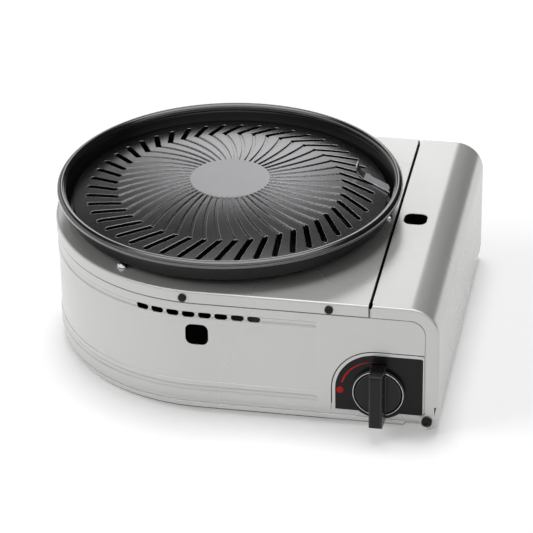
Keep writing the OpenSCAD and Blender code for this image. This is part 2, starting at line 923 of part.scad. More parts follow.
module receiver_plate() {
  left = partition_x + sheet + room_gap;
  color("lightsteelblue") place() difference() {
    intersection() {
      front_plate(governor_back, receiver_t)
        corner_plate(left, receiver_right, floor_z, receiver_top, receiver_corner);
      pan_form(sheet + seat_gap, top_z);
    }
    translate([cartridge_x, receiver_y - over, cartridge_z]) rotate([-90, 0, 0])
      cylinder(r = boss_r, h = cut_l);
  }
}

module receiver_magnets() {
  color("dimgray") place() for (s = [-1, 1])
    translate([cartridge_x + s * magnet_at, receiver_y + receiver_t + magnet_size[1] / 2, cartridge_z])
      cube(magnet_size, center = true);
}

// Along the gas line, from under the burner towards the valve, with Z along the line
module on_line(d) {
  rotate([0, 0, -line_angle]) translate([d, 0, tube_z]) rotate([0, 90, 0]) children();
}

module gas_nozzle() {
  color("goldenrod") place() on_line(nozzle_end) {
    cylinder(r1 = nozzle_tip_r, r2 = nozzle_r, h = nozzle_tip_l);
    translate([0, 0, nozzle_tip_l]) cylinder(r = nozzle_r, h = line_l - outlet_l - nozzle_end - nozzle_tip_l);
    translate([0, 0, line_l - outlet_l - nozzle_end - nozzle_hex_l])
      cylinder(r = nozzle_hex_r, h = nozzle_hex_l, $fn = 6);
  }
}

module tube_form(r, extra) {
  spigot_z = tube_z + tube_bend - over;
  translate([0, 0, spigot_z]) cylinder(r = r - seat_gap, h = shoulder_z - spigot_z + extra);
  rotate([0, 0, -line_angle]) translate([tube_bend, 0, tube_z + tube_bend]) rotate([90, 180, 0])
    rotate_extrude(angle = 90) translate([tube_bend, 0]) circle(r);
  on_line(tube_bend) cylinder(r = r, h = tube_end - tube_bend + extra);
}

module mixing_tube() {
  color("lightslategray") place() difference() {
    union() {
      tube_form(tube_r, 0);
      on_line(tube_end - bell_l) cylinder(r1 = tube_r, r2 = bell_r, h = bell_l);
    }
    tube_form(tube_r - tube_t, over);
    on_line(tube_end - bell_l) cylinder(r1 = tube_r - tube_t, r2 = bell_r - tube_t, h = bell_l + hair);
  }
}

module burner_bowl() {
  color("lightgray") place() rotate_extrude() polygon([
    [socket_r, shoulder_z - stem_l], [socket_r + bowl_t, shoulder_z - stem_l],
    [socket_r + bowl_t, shoulder_z], [shoulder_r, shoulder_z],
    [bowl_r - bowl_t, bowl_z - bowl_edge - bowl_draw], [bowl_r, bowl_z - bowl_edge], [bowl_r, bowl_z],
    [bowl_r - bowl_t, bowl_z], [bowl_r - bowl_t, bowl_z - bowl_edge + bowl_t / 3],
    [bowl_r - 2 * bowl_t, bowl_z - bowl_edge - bowl_draw + bowl_t / 2],
    [shoulder_r - bowl_t / 2, shoulder_z + bowl_t], [socket_r, shoulder_z + bowl_t]
  ]);
}

module burner_cap() {
  color([0.35, 0.35, 0.36]) place() difference() {
    rotate_extrude() polygon([
      [0, burner_z - cap_t], [bowl_r - 2 * cap_in, burner_z - cap_t],
      [bowl_r - cap_in, burner_z - cap_t - bowl_t], [bowl_r - cap_in, bowl_z], [burner_r, bowl_z],
      [burner_r, burner_z - cap_edge], [burner_r - cap_bevel, burner_z],
      [dimple_r, burner_z], [dimple_r - cap_edge, burner_z - dimple_d], [0, burner_z - dimple_d]
    ]);
    for (i = [0 : port_n - 1]) rotate([0, 0, 360 / port_n * i])
      translate([bowl_r - cap_in - bowl_t, -port_w / 2, bowl_z + port_up]) cube([port_l, port_w, port_h]);
  }
}

module burner_bracket() {
  ring_z = shoulder_z - bracket_t;
  color("darkgray") place() difference() {
    union() {
      translate([0, 0, ring_z]) cylinder(r = bracket_leg_at + bracket_t, h = bracket_t);
      for (i = [0 : 2]) rotate([0, 0, 60 - line_angle + 120 * i]) {
        translate([bracket_leg_at, -bracket_leg_w / 2, floor_z])
          cube([bracket_t, bracket_leg_w, shoulder_z - floor_z]);
        translate([bracket_leg_at, -bracket_leg_w / 2, floor_z])
          cube([bracket_t + bracket_foot_l, bracket_leg_w, bracket_t]);
      }
      rotate([0, 0, electrode_a]) {
        translate([ear_root, -ear_w / 2, ring_z]) cube([electrode_at - ear_root, ear_w, bracket_t]);
        translate([electrode_at, 0, ring_z]) cylinder(r = ear_w / 2, h = bracket_t);
      }
    }
    translate([0, 0, ring_z - over]) cylinder(r = socket_r + bowl_t + seat_gap, h = bracket_t + 2 * over);
    rotate([0, 0, electrode_a]) translate([electrode_at, 0, ring_z - over])
      cylinder(r = insulator_r + seat_gap, h = bracket_t + 2 * over);
    at_floor_screws() cylinder(r = shank_r + seat_gap, h = floor_z + cut_l);
  }
}

// Ignition

module piezo_igniter() {
  color([0.9, 0.9, 0.85]) place() translate([piezo_x, piezo_y, piezo_z]) {
    difference() {
      cube(piezo_size);
      for (x = rib_x) translate([x, -over, rib_z]) cube([rib_size[0], 2 * over, rib_size[1]]);
    }
    translate([piezo_size[0], piezo_size[1] / 2, piezo_size[2] / 2]) rotate([0, 90, 0])
      cylinder(r = plunger_r, h = plunger_l);
  }
}

module electrode_insulator() {
  color("white") place() translate([electrode_xy[0], electrode_xy[1], 0]) difference() {
    union() {
      translate([0, 0, insulator_z]) cylinder(r = insulator_r, h = bowl_z - insulator_z - insulator_end);
      translate([0, 0, shoulder_z]) cylinder(r = insulator_collar_r, h = insulator_collar_h);
    }
    translate([0, 0, insulator_z + insulator_end]) cylinder(r = pin_r + run_gap, h = bowl_z - insulator_z);
  }
}

module electrode_pin() {
  top = burner_z - pin_drop;
  low = insulator_z + insulator_end;
  color("silver") place() translate([electrode_xy[0], electrode_xy[1], 0]) {
    translate([0, 0, low]) cylinder(r = pin_r, h = top - low);
    translate([0, 0, top]) sphere(pin_r);
    rotate([0, 0, electrode_a]) translate([0, 0, top]) rotate([0, -90, 0]) cylinder(r = pin_r, h = pin_hook);
  }
}

function blend_point(a, b, c, d, t) = 0.5 * (2 * b + (c - a) * t + (2 * a - 5 * b + 4 * c - d) * t * t
  + (3 * b - a - 3 * c + d) * t * t * t);
function unit(v) = v / norm(v);

module lead_tube(route, r) {
  last = len(route) - 3;
  middle = [for (i = [1 : last], s = [0 : lead_steps - 1])
    blend_point(route[i - 1], route[i], route[i + 1], route[i + 2], s / lead_steps)];
  path = concat(middle, [route[last + 1]]);
  n = len(path);
  rings = [for (i = [0 : n - 1])
    let (along = unit(path[min(i + 1, n - 1)] - path[max(i - 1, 0)]))
    let (side = unit(cross(along, lead_axis)))
    let (up = cross(side, along))
    for (k = [0 : lead_sides - 1])
      let (turn = 360 * k / lead_sides)
      path[i] + r * (cos(turn) * side + sin(turn) * up)];
  skin = [for (i = [0 : n - 2], k = [0 : lead_sides - 1])
    let (a = i * lead_sides + k)
    let (b = i * lead_sides + (k + 1) % lead_sides)
    each [[a, b, a + lead_sides], [b, b + lead_sides, a + lead_sides]]];
  first_end = [for (k = [lead_sides - 1 : -1 : 0]) k];
  last_end = [for (k = [0 : lead_sides - 1]) (n - 1) * lead_sides + k];
  polyhedron(rings, concat([first_end], skin, [last_end]));
}

module ignition_lead() {
  color([0.15, 0.15, 0.15]) place() lead_tube(lead_route, lead_r);
}

module lead_grommet() {
  bore_r = lead_r + lead_room;
  neck_r = grommet_r - grommet_lip;
  right = sheet + seat_gap;
  color([0.1, 0.1, 0.1]) place() translate([partition_x, grommet_y, grommet_z]) rotate([0, 90, 0])
    rotate_extrude() polygon([
      [bore_r, -grommet_lip], [grommet_r, -grommet_lip], [grommet_r, -seat_gap], [neck_r, -seat_gap],
      [neck_r, right], [grommet_r, right], [grommet_r, right + grommet_lip], [bore_r, right + grommet_lip]
    ]);
}

// Cartridge bay

module partition() {
  color("silver") place() difference() {
    intersection() {
      union() {
        translate([partition_x, -room, 0]) cube([sheet, 2 * room, top_z - edge_r - root]);
        translate([partition_x - partition_foot, -room + partition_foot_in, 0])
          cube([partition_foot + sheet, 2 * (room - partition_foot_in), floor_z + seat_gap + sheet]);
      }
      pan_form(sheet + seat_gap, top_z);
    }
    on_line(tube_end) cylinder(r = nozzle_r + nozzle_room, h = line_l - tube_end);
    translate([partition_x - over, grommet_y, grommet_z]) rotate([0, 90, 0])
      cylinder(r = grommet_r - grommet_lip + seat_gap, h = 2 * over + sheet);
  }
}

module cartridge_cradle() {
  color("silver") place() difference() {
    union() {
      for (y = saddle_y) translate([cartridge_x - saddle_w / 2, y, floor_z])
        cube([saddle_w, saddle_t, saddle_h]);
      translate([cartridge_x - strap_w / 2, saddle_y[0], floor_z])
        cube([strap_w, saddle_y[1] - saddle_y[0] + saddle_t, saddle_t]);
    }
    translate([cartridge_x, 0, cartridge_z]) rotate([90, 0, 0])
      cylinder(r = cartridge_r + fit_gap, h = 2 * body_r, center = true);
    at_floor_screws() cylinder(r = shank_r + seat_gap, h = floor_z + cut_l);
  }
}

// Cover

module cover_section(inset, reach) {
  corner_plate(cover_x - reach, body_right - inset, cover_low - reach, top_z - inset, corner_r - inset);
}

module cover_form(inset, reach) {
  half = body_r - edge_r;
  along_y(2 * half) cover_section(inset, reach);
  along_y(2 * (body_r - inset)) cover_section(edge_r, reach);
  both_sides() translate([0, -half, 0]) {
    translate([cover_x - reach, 0, top_z - edge_r]) rotate([0, 90, 0])
      cylinder(r = edge_r - inset, h = corner_x - cover_x + reach);
    translate([corner_x, 0, corner_z]) rotate([90, 0, 0]) rotate_extrude(angle = 90)
      translate([corner_r - edge_r, 0]) circle(edge_r - inset);
    translate([body_right - edge_r, 0, cover_low - reach])
      cylinder(r = edge_r - inset, h = corner_z - cover_low + reach);
  }
}

module cover_ear() {
  front_plate(body_r, sheet) difference() {
    union() {
      translate([pivot_x, pivot_z]) circle(ear_r);
      intersection() {
        translate([pivot_x, pivot_z]) circle(ear_r + ear_lap);
        translate([pivot_x, 0]) square([2 * ear_r, cover_low + ear_lap]);
      }
      translate([flange_x, pivot_z]) square([pivot_x - flange_x + ear_r, ear_h]);
    }
    translate([pivot_x, pivot_z]) circle(pivot_r + run_gap);
  }
}

module cartridge_cover() {
  color("gainsboro") place() {
    difference() {
      cover_form(0, 0);
      cover_form(sheet, over);
      along_y(2 * body_r + 2 * over) corner_plate(cover_x - over, flange_x, 0, skirt_z, corner_r - flange_w);
      translate([peep_x, peep_y, under_z - over]) linear_extrude(sheet + 2 * over)
        rounded_square(peep_w, peep_w, peep_r);
      both_sides() translate([pivot_x, -skirt_in + over, pivot_z]) rotate([90, 0, 0])
        cylinder(r = pivot_r + run_gap, h = sheet + 2 * over);
      seam_reliefs();
    }
    both_sides() cover_ear();
  }
}

// Water tray

module water_tray() {
  floor_r = tray_r - tray_corner;
  wall_top_r = rim_at - tray_t;
  wall_top_z = rim_z - rim_r + wall_lap;
  collar_z = tray_z + collar_h;
  color([0.13, 0.13, 0.14]) place() rotate_extrude() {
    difference() {
      translate([rim_at, rim_z]) circle(rim_r);
      translate([rim_at, rim_z]) circle(rim_r - tray_t);
    }
    polygon([
      [flue_r, collar_z], [flue_r, tray_z + flue_bevel], [flue_r + flue_bevel, tray_z],
      [floor_r, tray_z], [tray_r, tray_z + tray_corner],
      [wall_top_r + tray_t / 2, wall_top_z], [wall_top_r - tray_t / 2, wall_top_z],
      [tray_r - tray_t, tray_z + tray_corner + tray_t / 2], [floor_r - tray_t / 3, tray_floor],
      [flue_r + 2 * tray_t, tray_floor], [flue_r + tray_t, tray_floor + tray_t], [flue_r + tray_t, collar_z]
    ]);
  }
}

// Grill plate

module dome_ball(drop) {
  translate([0, 0, crown_z - dome_r]) sphere(dome_r - drop, $fn = 180);
}

module plate_blank() {
  intersection() {
    dome_ball(0);
    translate([0, 0, dome_z(plate_r) - lip_h]) cylinder(r = plate_r, h = disc_z - dome_z(plate_r) + lip_h);
  }
}

// A slot leads from its inner end, on the X axis, outwards and clockwise
module slot_cut() {
  a = [slot_in + slot_w / 2, 0];
  far = slot_out - slot_w / 2;
  b = [far * cos(slot_turn), -far * sin(slot_turn)];
  mid = (a + b) / 2;
  translate([mid[0], mid[1], leg_z]) rotate([0, 0, atan2(b[1] - a[1], b[0] - a[0])])
    linear_extrude(crown_h + over) slot_2d(norm(b - a) + slot_w, slot_w);
}

// A groove curves from the flat disc to the inner end of its slot
module groove_cut() {
  start_r = disc_r + groove_lap;
  a = [start_r * cos(groove_turn), -start_r * sin(groove_turn)];
  b = [slot_in + 2 * groove_lap, 0];
  half = norm(b - a) / 2;
  dir = (b - a) / (2 * half);
  centre = (a + b) / 2 + sqrt(groove_r * groove_r - half * half) * [-dir[1], dir[0]];
  sweep = 2 * asin(half / groove_r);
  start = atan2(a[1] - centre[1], a[0] - centre[0]);
  translate([centre[0], centre[1], leg_z]) rotate([0, 0, start]) rotate_extrude(angle = sweep)
    translate([groove_r - groove_w / 2, 0]) square([groove_w, crown_h + over]);
}

module grill_plate() {
  color([0.2, 0.2, 0.21]) place() {
    difference() {
      plate_blank();
      difference() {
        dome_ball(plate_t);
        difference() {
          cylinder(r = 2 * plate_r, h = crown_z);
          cylinder(r = plate_r - edge_w, h = crown_z + over);
        }
      }
      for (i = [0 : slot_n - 1]) rotate([0, 0, pattern_turn + 360 / slot_n * i]) slot_cut();
      difference() {
        for (i = [0 : slot_n - 1]) rotate([0, 0, pattern_turn + 360 / slot_n * i]) groove_cut();
        dome_ball(groove_d);
      }
    }
    for (i = [0 : 3]) rotate([0, 0, 45 + 90 * i]) translate([leg_at, 0, leg_z])
      cylinder(r = leg_r, h = dome_z(leg_at + leg_r) - leg_z - plate_t / 2);
  }
}

// Section of the tab in (x, z): curled lip, strip and hook over the plate's edge
module tab_section() {
  translate([tab_x, tab_inner_z]) rotate(-tab_tilt) {
    square([tab_len, tab_t]);
    intersection() {
      translate([0, curl_r + tab_t]) difference() {
        circle(curl_r + tab_t);
        circle(curl_r);
      }
      translate([-2 * curl_r, 0]) square([2 * curl_r, curl_r + tab_t]);
    }
    intersection() {
      translate([tab_len, tab_t - hook_r]) difference() {
        circle(hook_r);
        circle(hook_r - tab_t);
      }
      translate([tab_len, tab_t - hook_r]) square(2 * hook_r);
    }
    translate([tab_len + hook_r - tab_t, tab_t - hook_r - hook_l]) square([tab_t, hook_l]);
  }
}

module tab_plan() {
  near = -2 * curl_r;
  far = tab_end_x - tab_x + tab_reach;
  polygon([
    [near, near * tab_slant], [far, far * tab_slant],
    [far, far * tab_slant + tab_w], [near, near * tab_slant + tab_w]
  ]);
}

module lifting_tab() {
  color("lightgray") place() intersection() {
    along_y(4 * plate_r) tab_section();
    translate([tab_x, tab_y, 0]) linear_extrude(2 * top_z) tab_plan();
    cylinder(r = tray_inner - fit_gap, h = 2 * top_z);
  }
}

base_pan();
side_wall();
top_plate();
tray_studs();
skirt_screws();
pivot_screws();
feet();
foot_screws();
floor_screws();
control_bezel();
knob_panel();
partition();
receiver_plate();
receiver_magnets();
gas_seal();
governor();
valve_body();
gas_nozzle();
mixing_tube();
burner_bowl();
burner_cap();
burner_bracket();
cartridge_cradle();
piezo_igniter();
ignition_lead();
lead_grommet();
electrode_insulator();
electrode_pin();
cartridge_cover();
knob();
knob_ring();
knob_spindle();
water_tray();
grill_plate();
lifting_tab();
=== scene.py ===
# %% [markdown]
# # A tabletop gas grill
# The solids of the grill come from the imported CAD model, and this lesson dresses them: it sets up a small photo
# studio, builds a few shader groups, and turns each piece of metal, rubber and plastic into what it is made of.
# Everything is in metres, with +Z up, -Y out of the front and the middle of the footprint at the origin.

# %% Load the solids
import math

import bmesh
import bpy
from mathutils import Matrix, Quaternion, Vector


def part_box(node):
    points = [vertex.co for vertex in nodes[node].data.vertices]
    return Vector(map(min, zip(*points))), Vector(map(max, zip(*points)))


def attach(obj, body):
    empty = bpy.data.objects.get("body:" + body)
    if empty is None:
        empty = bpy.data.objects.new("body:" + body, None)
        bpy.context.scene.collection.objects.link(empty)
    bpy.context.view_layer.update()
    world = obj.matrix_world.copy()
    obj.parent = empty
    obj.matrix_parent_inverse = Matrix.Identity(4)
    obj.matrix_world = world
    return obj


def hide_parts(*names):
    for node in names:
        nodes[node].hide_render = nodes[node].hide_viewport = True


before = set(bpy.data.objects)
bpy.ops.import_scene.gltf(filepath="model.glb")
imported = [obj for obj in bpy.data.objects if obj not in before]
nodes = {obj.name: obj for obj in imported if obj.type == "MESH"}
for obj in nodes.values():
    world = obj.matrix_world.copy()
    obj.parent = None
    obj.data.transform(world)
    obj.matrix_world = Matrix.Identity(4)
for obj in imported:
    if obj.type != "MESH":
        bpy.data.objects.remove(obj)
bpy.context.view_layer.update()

# %% [markdown]
# ## Camera
# A product photographer stands well back with a long lens, so that the round tray isn't stretched. The place, the
# target and the lens here were solved from points of the photograph. The picture is square, so the sensor width
# is the width of the frame.

# %% Camera
CAMERA_AT = Vector((0.35628, -1.80593, 1.10196))
CAMERA_TARGET = Vector((0.01397, -0.04261, 0.08044))
CAMERA_ROLL = math.radians(-0.96)
CAMERA_LENS, SENSOR_WIDTH = 192.016, 36

scene = bpy.context.scene
scene.view_settings.view_transform = "Standard"
camera_data = bpy.data.cameras.new("studio_camera")
camera_data.sensor_width = SENSOR_WIDTH
camera_data.lens = CAMERA_LENS
camera = bpy.data.objects.new("studio_camera", camera_data)
scene.collection.objects.link(camera)
scene.camera = camera
camera.location = CAMERA_AT
camera.rotation_mode = "QUATERNION"
level_view = (CAMERA_TARGET - CAMERA_AT).to_track_quat("-Z", "Y")
camera.rotation_quaternion = level_view @ Quaternion((0, 0, 1), CAMERA_ROLL)
print("camera distance:", round((CAMERA_TARGET - CAMERA_AT).length, 3))

# %% [markdown]
# ## Small helpers for node trees
# Shader trees are long to write one call at a time. These helpers add a node with its settings, join two sockets and
# do a sum, so that each tree below reads as a short recipe. Other helpers come where they are first needed.

# %% Node helpers
def add_node(tree, kind, at=(0, 0), inputs=None, **settings):
    node = tree.nodes.new(kind)
    node.location = at
    for name, value in settings.items():
        setattr(node, name, value)
    for name, value in (inputs or {}).items():
        node.inputs[name].default_value = value
    return node


def join(tree, source, target):
    tree.links.new(source, target)


def math_node(tree, operation, first, second=None, clamp=False):
    node = add_node(tree, "ShaderNodeMath", operation=operation, use_clamp=clamp)
    for socket, value in zip(node.inputs, (first, second)):
        if value is None:
            continue
        if isinstance(value, (int, float)):
            socket.default_value = value
        else:
            join(tree, value, socket)
    return node.outputs[0]


print("node helpers ready")

# %% [markdown]
# ## Studio
# The grill stands in a white studio. A world that is white for every ray would light the metal from all sides and
# wash out its shadows. So the world has two strengths: it is white where the camera, a reflection or glass looks at
# it, and gives a weaker light to everything else.

# %% Surroundings
WHITE = (1, 1, 1, 1)
OUTPUT_AT = (900, 0)
ROOM_LIGHT, BACKDROP = 0.30, 1.0


def outward_rays(tree):
    path = add_node(tree, "ShaderNodeLightPath")
    seen = math_node(tree, "ADD", path.outputs["Is Camera Ray"], path.outputs["Is Glossy Ray"])
    return math_node(tree, "ADD", seen, path.outputs["Is Transmission Ray"], clamp=True)


def either(tree, factor, first, second):
    node = add_node(tree, "ShaderNodeMixShader")
    for socket, source in zip(node.inputs, (factor, first, second)):
        join(tree, source, socket)
    return node.outputs[0]


def show(tree, shader, kind="ShaderNodeOutputMaterial"):
    join(tree, shader, add_node(tree, kind, OUTPUT_AT).inputs["Surface"])


world = bpy.data.worlds.new("white_studio")
scene.world = world
world.use_nodes = True
air = world.node_tree
air.nodes.clear()
room = add_node(air, "ShaderNodeBackground", inputs={"Color": WHITE, "Strength": ROOM_LIGHT})
backdrop = add_node(air, "ShaderNodeBackground", inputs={"Color": WHITE, "Strength": BACKDROP})
show(air, either(air, outward_rays(air), room.outputs[0], backdrop.outputs[0]), "ShaderNodeOutputWorld")
print("room light:", ROOM_LIGHT)

# %% [markdown]
# The table is a round white sheet that keeps the shadow. A plain white surface turns grey under soft lamps, and
# stronger lamps would bleach the grill. So the sheet has a little glow of its own, which only the camera, reflections
# and glass see. The glow grows towards the rim, and the sheet runs into the white behind it without a line.

# %% Table
TABLE_RADIUS, TABLE_STEPS = 1.3, 96


def even_turns(count):
    return [math.tau * i / count for i in range(count)]


table_mesh = bpy.data.meshes.new("studio_table")
corners = [(TABLE_RADIUS * math.cos(t), TABLE_RADIUS * math.sin(t), 0) for t in even_turns(TABLE_STEPS)]
table_mesh.from_pydata(corners, [], [tuple(range(TABLE_STEPS))])
table = bpy.data.objects.new("studio_table", table_mesh)
scene.collection.objects.link(table)
print("table:", 2 * TABLE_RADIUS, "m across")

# %% Table paint
TABLE_WHITE = (0.86, 0.86, 0.86, 1)
TABLE_LIFT, EDGE_LIFT = 0.25, 0.7
TABLE_FADE = (0.45, 1.1)


def map_range(tree, value, low, high, to_low, to_high):
    node = add_node(tree, "ShaderNodeMapRange", clamp=True)
    join(tree, value, node.inputs["Value"])
    for name, number in (("From Min", low), ("From Max", high), ("To Min", to_low), ("To Max", to_high)):
        node.inputs[name].default_value = number
    return node.outputs["Result"]


def blank_material(name):
    material = bpy.data.materials.new(name)
    material.use_nodes = True
    material.node_tree.nodes.clear()
    return material, material.node_tree


table_paint, tree = blank_material("studio_table")
matt = add_node(tree, "ShaderNodeBsdfDiffuse", inputs={"Color": TABLE_WHITE})
lift = add_node(tree, "ShaderNodeEmission", inputs={"Color": WHITE})
away = add_node(tree, "ShaderNodeVectorMath", operation="LENGTH")
join(tree, add_node(tree, "ShaderNodeNewGeometry").outputs["Position"], away.inputs[0])
join(tree, map_range(tree, away.outputs["Value"], *TABLE_FADE, TABLE_LIFT, EDGE_LIFT), lift.inputs["Strength"])
both = add_node(tree, "ShaderNodeAddShader")
join(tree, matt.outputs[0], both.inputs[0])
join(tree, lift.outputs[0], both.inputs[1])
show(tree, either(tree, outward_rays(tree), matt.outputs[0], both.outputs[0]))
table_mesh.materials.append(table_paint)
print("table glow:", TABLE_LIFT, "to", EDGE_LIFT)

# %% [markdown]
# The main lamp hangs above and a little behind, so the shadow falls to the front, and a second one stands at the
# left. Each has a place, a width and a power. Small lamps would give hard shadows, so these are wide discs.
# Reflections don't see them, because the tent below is made for that.

# %% Lamps
LAMP_AIM = Vector((0, 0, 0.05))
LAMPS = {
    "top_lamp": ((0.0, 0.7, 4.0), 1.6, 74),
    "left_lamp": ((-2.9, -1.1, 2.5), 2.4, 54),
}

for name, (at, size, watts) in LAMPS.items():
    data = bpy.data.lights.new(name, "AREA")
    data.shape = "DISK"
    data.size = size
    data.energy = watts
    lamp = bpy.data.objects.new(name, data)
    lamp.location = at
    lamp.rotation_mode = "QUATERNION"
    lamp.rotation_quaternion = (LAMP_AIM - Vector(at)).to_track_quat("-Z", "Y")
    lamp.visible_glossy = False
    scene.collection.objects.link(lamp)
print("lamps:", ", ".join(LAMPS))

# %% [markdown]
# Shiny metal shows the room more than it shows its own colour. A picture of a studio could be wrapped round the
# scene, but panels are easier to steer. So a dark tent stands round the table, seen only by reflections, with a few
# soft panels of light on it.

# %% Reflection tent
TENT_RADIUS = 8.0
TENT_TURNS, TENT_ROWS = 48, 16
TENT_LOW, TENT_TOP = -12.0, 89.9

points, faces = [], []
for row in range(TENT_ROWS + 1):
    rise = math.radians(TENT_LOW + (TENT_TOP - TENT_LOW) * row / TENT_ROWS)
    out, up = TENT_RADIUS * math.cos(rise), TENT_RADIUS * math.sin(rise)
    points += [(out * math.sin(t), out * math.cos(t), up) for t in even_turns(TENT_TURNS)]
for row in range(TENT_ROWS):
    for i in range(TENT_TURNS):
        low, nxt = row * TENT_TURNS, (i + 1) % TENT_TURNS
        faces.append((low + i, low + nxt, low + TENT_TURNS + nxt, low + TENT_TURNS + i))
tent_mesh = bpy.data.meshes.new("studio_tent")
tent_mesh.from_pydata(points, [], faces)
tent = bpy.data.objects.new("studio_tent", tent_mesh)
tent.visible_camera = False
tent.visible_diffuse = False
tent.visible_shadow = False
scene.collection.objects.link(tent)
print("tent:", len(faces), "faces")

# %% [markdown]
# Each panel has a direction, half a width, a lower and an upper border, all in degrees, and a level. Lamps of that
# shape would also light the grill, so the panels are drawn in the tent's material instead. A panel is the product of
# its soft borders and its level, like a lamp behind cloth, and the panels add up. The levels were weighed against the
# tones of the photograph.

# %% Light on the tent
TENT_DARK = 0.02
HALF_TURN = 180.0
DEGREES = HALF_TURN / math.pi
SOFT_TURN, SOFT_RISE = 5.0, 4.0
PANELS = {
    "low_strip": (-10, 22, 4, 15, 1.4),
    "back_panel": (-10, 8, 15, 36, 2.1),
    "left_panel": (-66, 34, 4, 30, 0.8),
    "front_strip": (180, 80, 13, 26, 1.3),
    "front_panel": (180, 80, 26, 58, 0.7),
    "ceiling": (0, 200, 58, 100, 2.3),
}


def fade(tree, value, start, stop):
    node = add_node(tree, "ShaderNodeMapRange", interpolation_type="SMOOTHSTEP")
    join(tree, value, node.inputs["Value"])
    node.inputs["From Min"].default_value = start
    node.inputs["From Max"].default_value = stop
    return node.outputs["Result"]


def product(tree, first, *others):
    for other in others:
        first = math_node(tree, "MULTIPLY", first, other)
    return first


def panel_light(tree, turned, height, centre, half, low, high, level):
    away = add_node(tree, "ShaderNodeMath", operation="WRAP")
    join(tree, math_node(tree, "SUBTRACT", turned, centre), away.inputs[0])
    away.inputs[1].default_value = HALF_TURN
    away.inputs[2].default_value = -HALF_TURN
    aside = math_node(tree, "ABSOLUTE", away.outputs[0])
    return product(tree, fade(tree, aside, half + SOFT_TURN, half - SOFT_TURN),
                   fade(tree, height, low - SOFT_RISE, low + SOFT_RISE),
                   fade(tree, height, high + SOFT_RISE, high - SOFT_RISE), level)


print("tent panels:", ", ".join(PANELS))

# %% Tent cloth
tent_cloth, tree = blank_material("studio_tent")
spot = add_node(tree, "ShaderNodeNewGeometry")
facing = add_node(tree, "ShaderNodeVectorMath", operation="NORMALIZE")
join(tree, spot.outputs["Position"], facing.inputs[0])
parts = add_node(tree, "ShaderNodeSeparateXYZ")
join(tree, facing.outputs[0], parts.inputs[0])
height = math_node(tree, "MULTIPLY", math_node(tree, "ARCSINE", parts.outputs["Z"]), DEGREES)
compass = math_node(tree, "ARCTAN2", parts.outputs["X"], parts.outputs["Y"])
turned = math_node(tree, "MULTIPLY", compass, DEGREES)
glow = TENT_DARK
for shape in PANELS.values():
    glow = math_node(tree, "ADD", panel_light(tree, turned, height, *shape), glow)
cloth = add_node(tree, "ShaderNodeEmission", inputs={"Color": WHITE})
join(tree, glow, cloth.inputs["Strength"])
show(tree, cloth.outputs[0])
tent_mesh.materials.append(tent_cloth)
print("tent cloth:", tent_cloth.name)

# %% [markdown]
# ## Crisper pressings
# The real sheets are bent over a smaller radius than the solids show, the seam beside the cover drops into a gutter
# that the top's finish darkens with painted shade, and the strip that lifts the plate is narrower. Each could be
# modelled anew, but its holes and its fit would have to be made again. So a copy of the solid's mesh stands in for
# it, and a small rule moves the copy's points. Weighted normals keep the flat faces flat next to the new roundings.

# %% Copies with moved points
TRAY_AXIS = Vector((-0.022, 0.00715, 0))
SHARP_ANGLE = math.radians(32)
WELD = 1e-6
shapes = dict(nodes)


def reshaped(node, body, move, cuts=()):
    form = bmesh.new()
    form.from_mesh(nodes[node].data)
    bmesh.ops.remove_doubles(form, verts=form.verts, dist=WELD)
    for cut in cuts:
        everything = form.verts[:] + form.edges[:] + form.faces[:]
        bmesh.ops.bisect_plane(form, geom=everything, plane_co=TRAY_AXIS + Vector((cut, 0, 0)), plane_no=(1, 0, 0))
    for point in form.verts:
        point.co = move(point.co - TRAY_AXIS) + TRAY_AXIS
    for edge in form.edges:
        edge.smooth = edge.is_manifold and edge.calc_face_angle(0.0) < SHARP_ANGLE
    for face in form.faces:
        face.smooth = True
    mesh = bpy.data.meshes.new("crisp_" + node)
    form.to_mesh(mesh)
    form.free()
    piece = bpy.data.objects.new("crisp_" + node, mesh)
    scene.collection.objects.link(piece)
    piece.modifiers.new("flat_faces", "WEIGHTED_NORMAL").keep_sharp = True
    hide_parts(node)
    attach(piece, body)
    shapes[node] = piece
    print(piece.name, len(mesh.polygons), "faces")


print("pieces to dress:", len(shapes))

# %% [markdown]
# A press bends the top plate and the cover over a small radius. A bevel could round a sharp edge, but here the wider
# rounding is already in the mesh. So each of its points keeps its direction from the middle of the bend and its depth
# in the sheet, and moves to the smaller radius. The ledge beside the cover drops and becomes the gutter.

# %% Tighter rounding
EDGE_WAS, EDGE_NOW = 0.0035, 0.0016
BODY_R, TOP_Z, BODY_RIGHT, CORNER_R = 0.129, 0.101, 0.173, 0.021


def tighter(out, up, out_end, up_end):
    a, b = out - out_end + EDGE_WAS, up - up_end + EDGE_WAS
    reach = math.hypot(a, b)
    if min(a, b) < -WELD or not WELD < reach < EDGE_WAS + WELD:
        return out, up
    share = (reach - EDGE_WAS + EDGE_NOW) / reach
    return out_end - EDGE_NOW + a * share, up_end - EDGE_NOW + b * share


def outward(p):
    if p.x > 0:
        return abs(p.y), Vector((0, math.copysign(1, p.y), 0))
    return math.hypot(p.x, p.y), Vector((p.x, p.y, 0)).normalized()


print("edge rounding:", EDGE_WAS, "to", EDGE_NOW)

# %% Edge of the top and of the cover
LEDGE_X, LEDGE_TOP, LEDGE_END, GUTTER = 0.1228, 0.10015, 0.1276, 0.005


def top_edge(p):
    out, way = outward(p)
    if p.x > LEDGE_X and p.z < LEDGE_TOP and out < LEDGE_END:
        return p - Vector((0, 0, GUTTER))
    new_out, new_z = tighter(out, p.z, BODY_R, TOP_Z)
    moved = p + way * (new_out - out)
    moved.z = new_z
    return moved


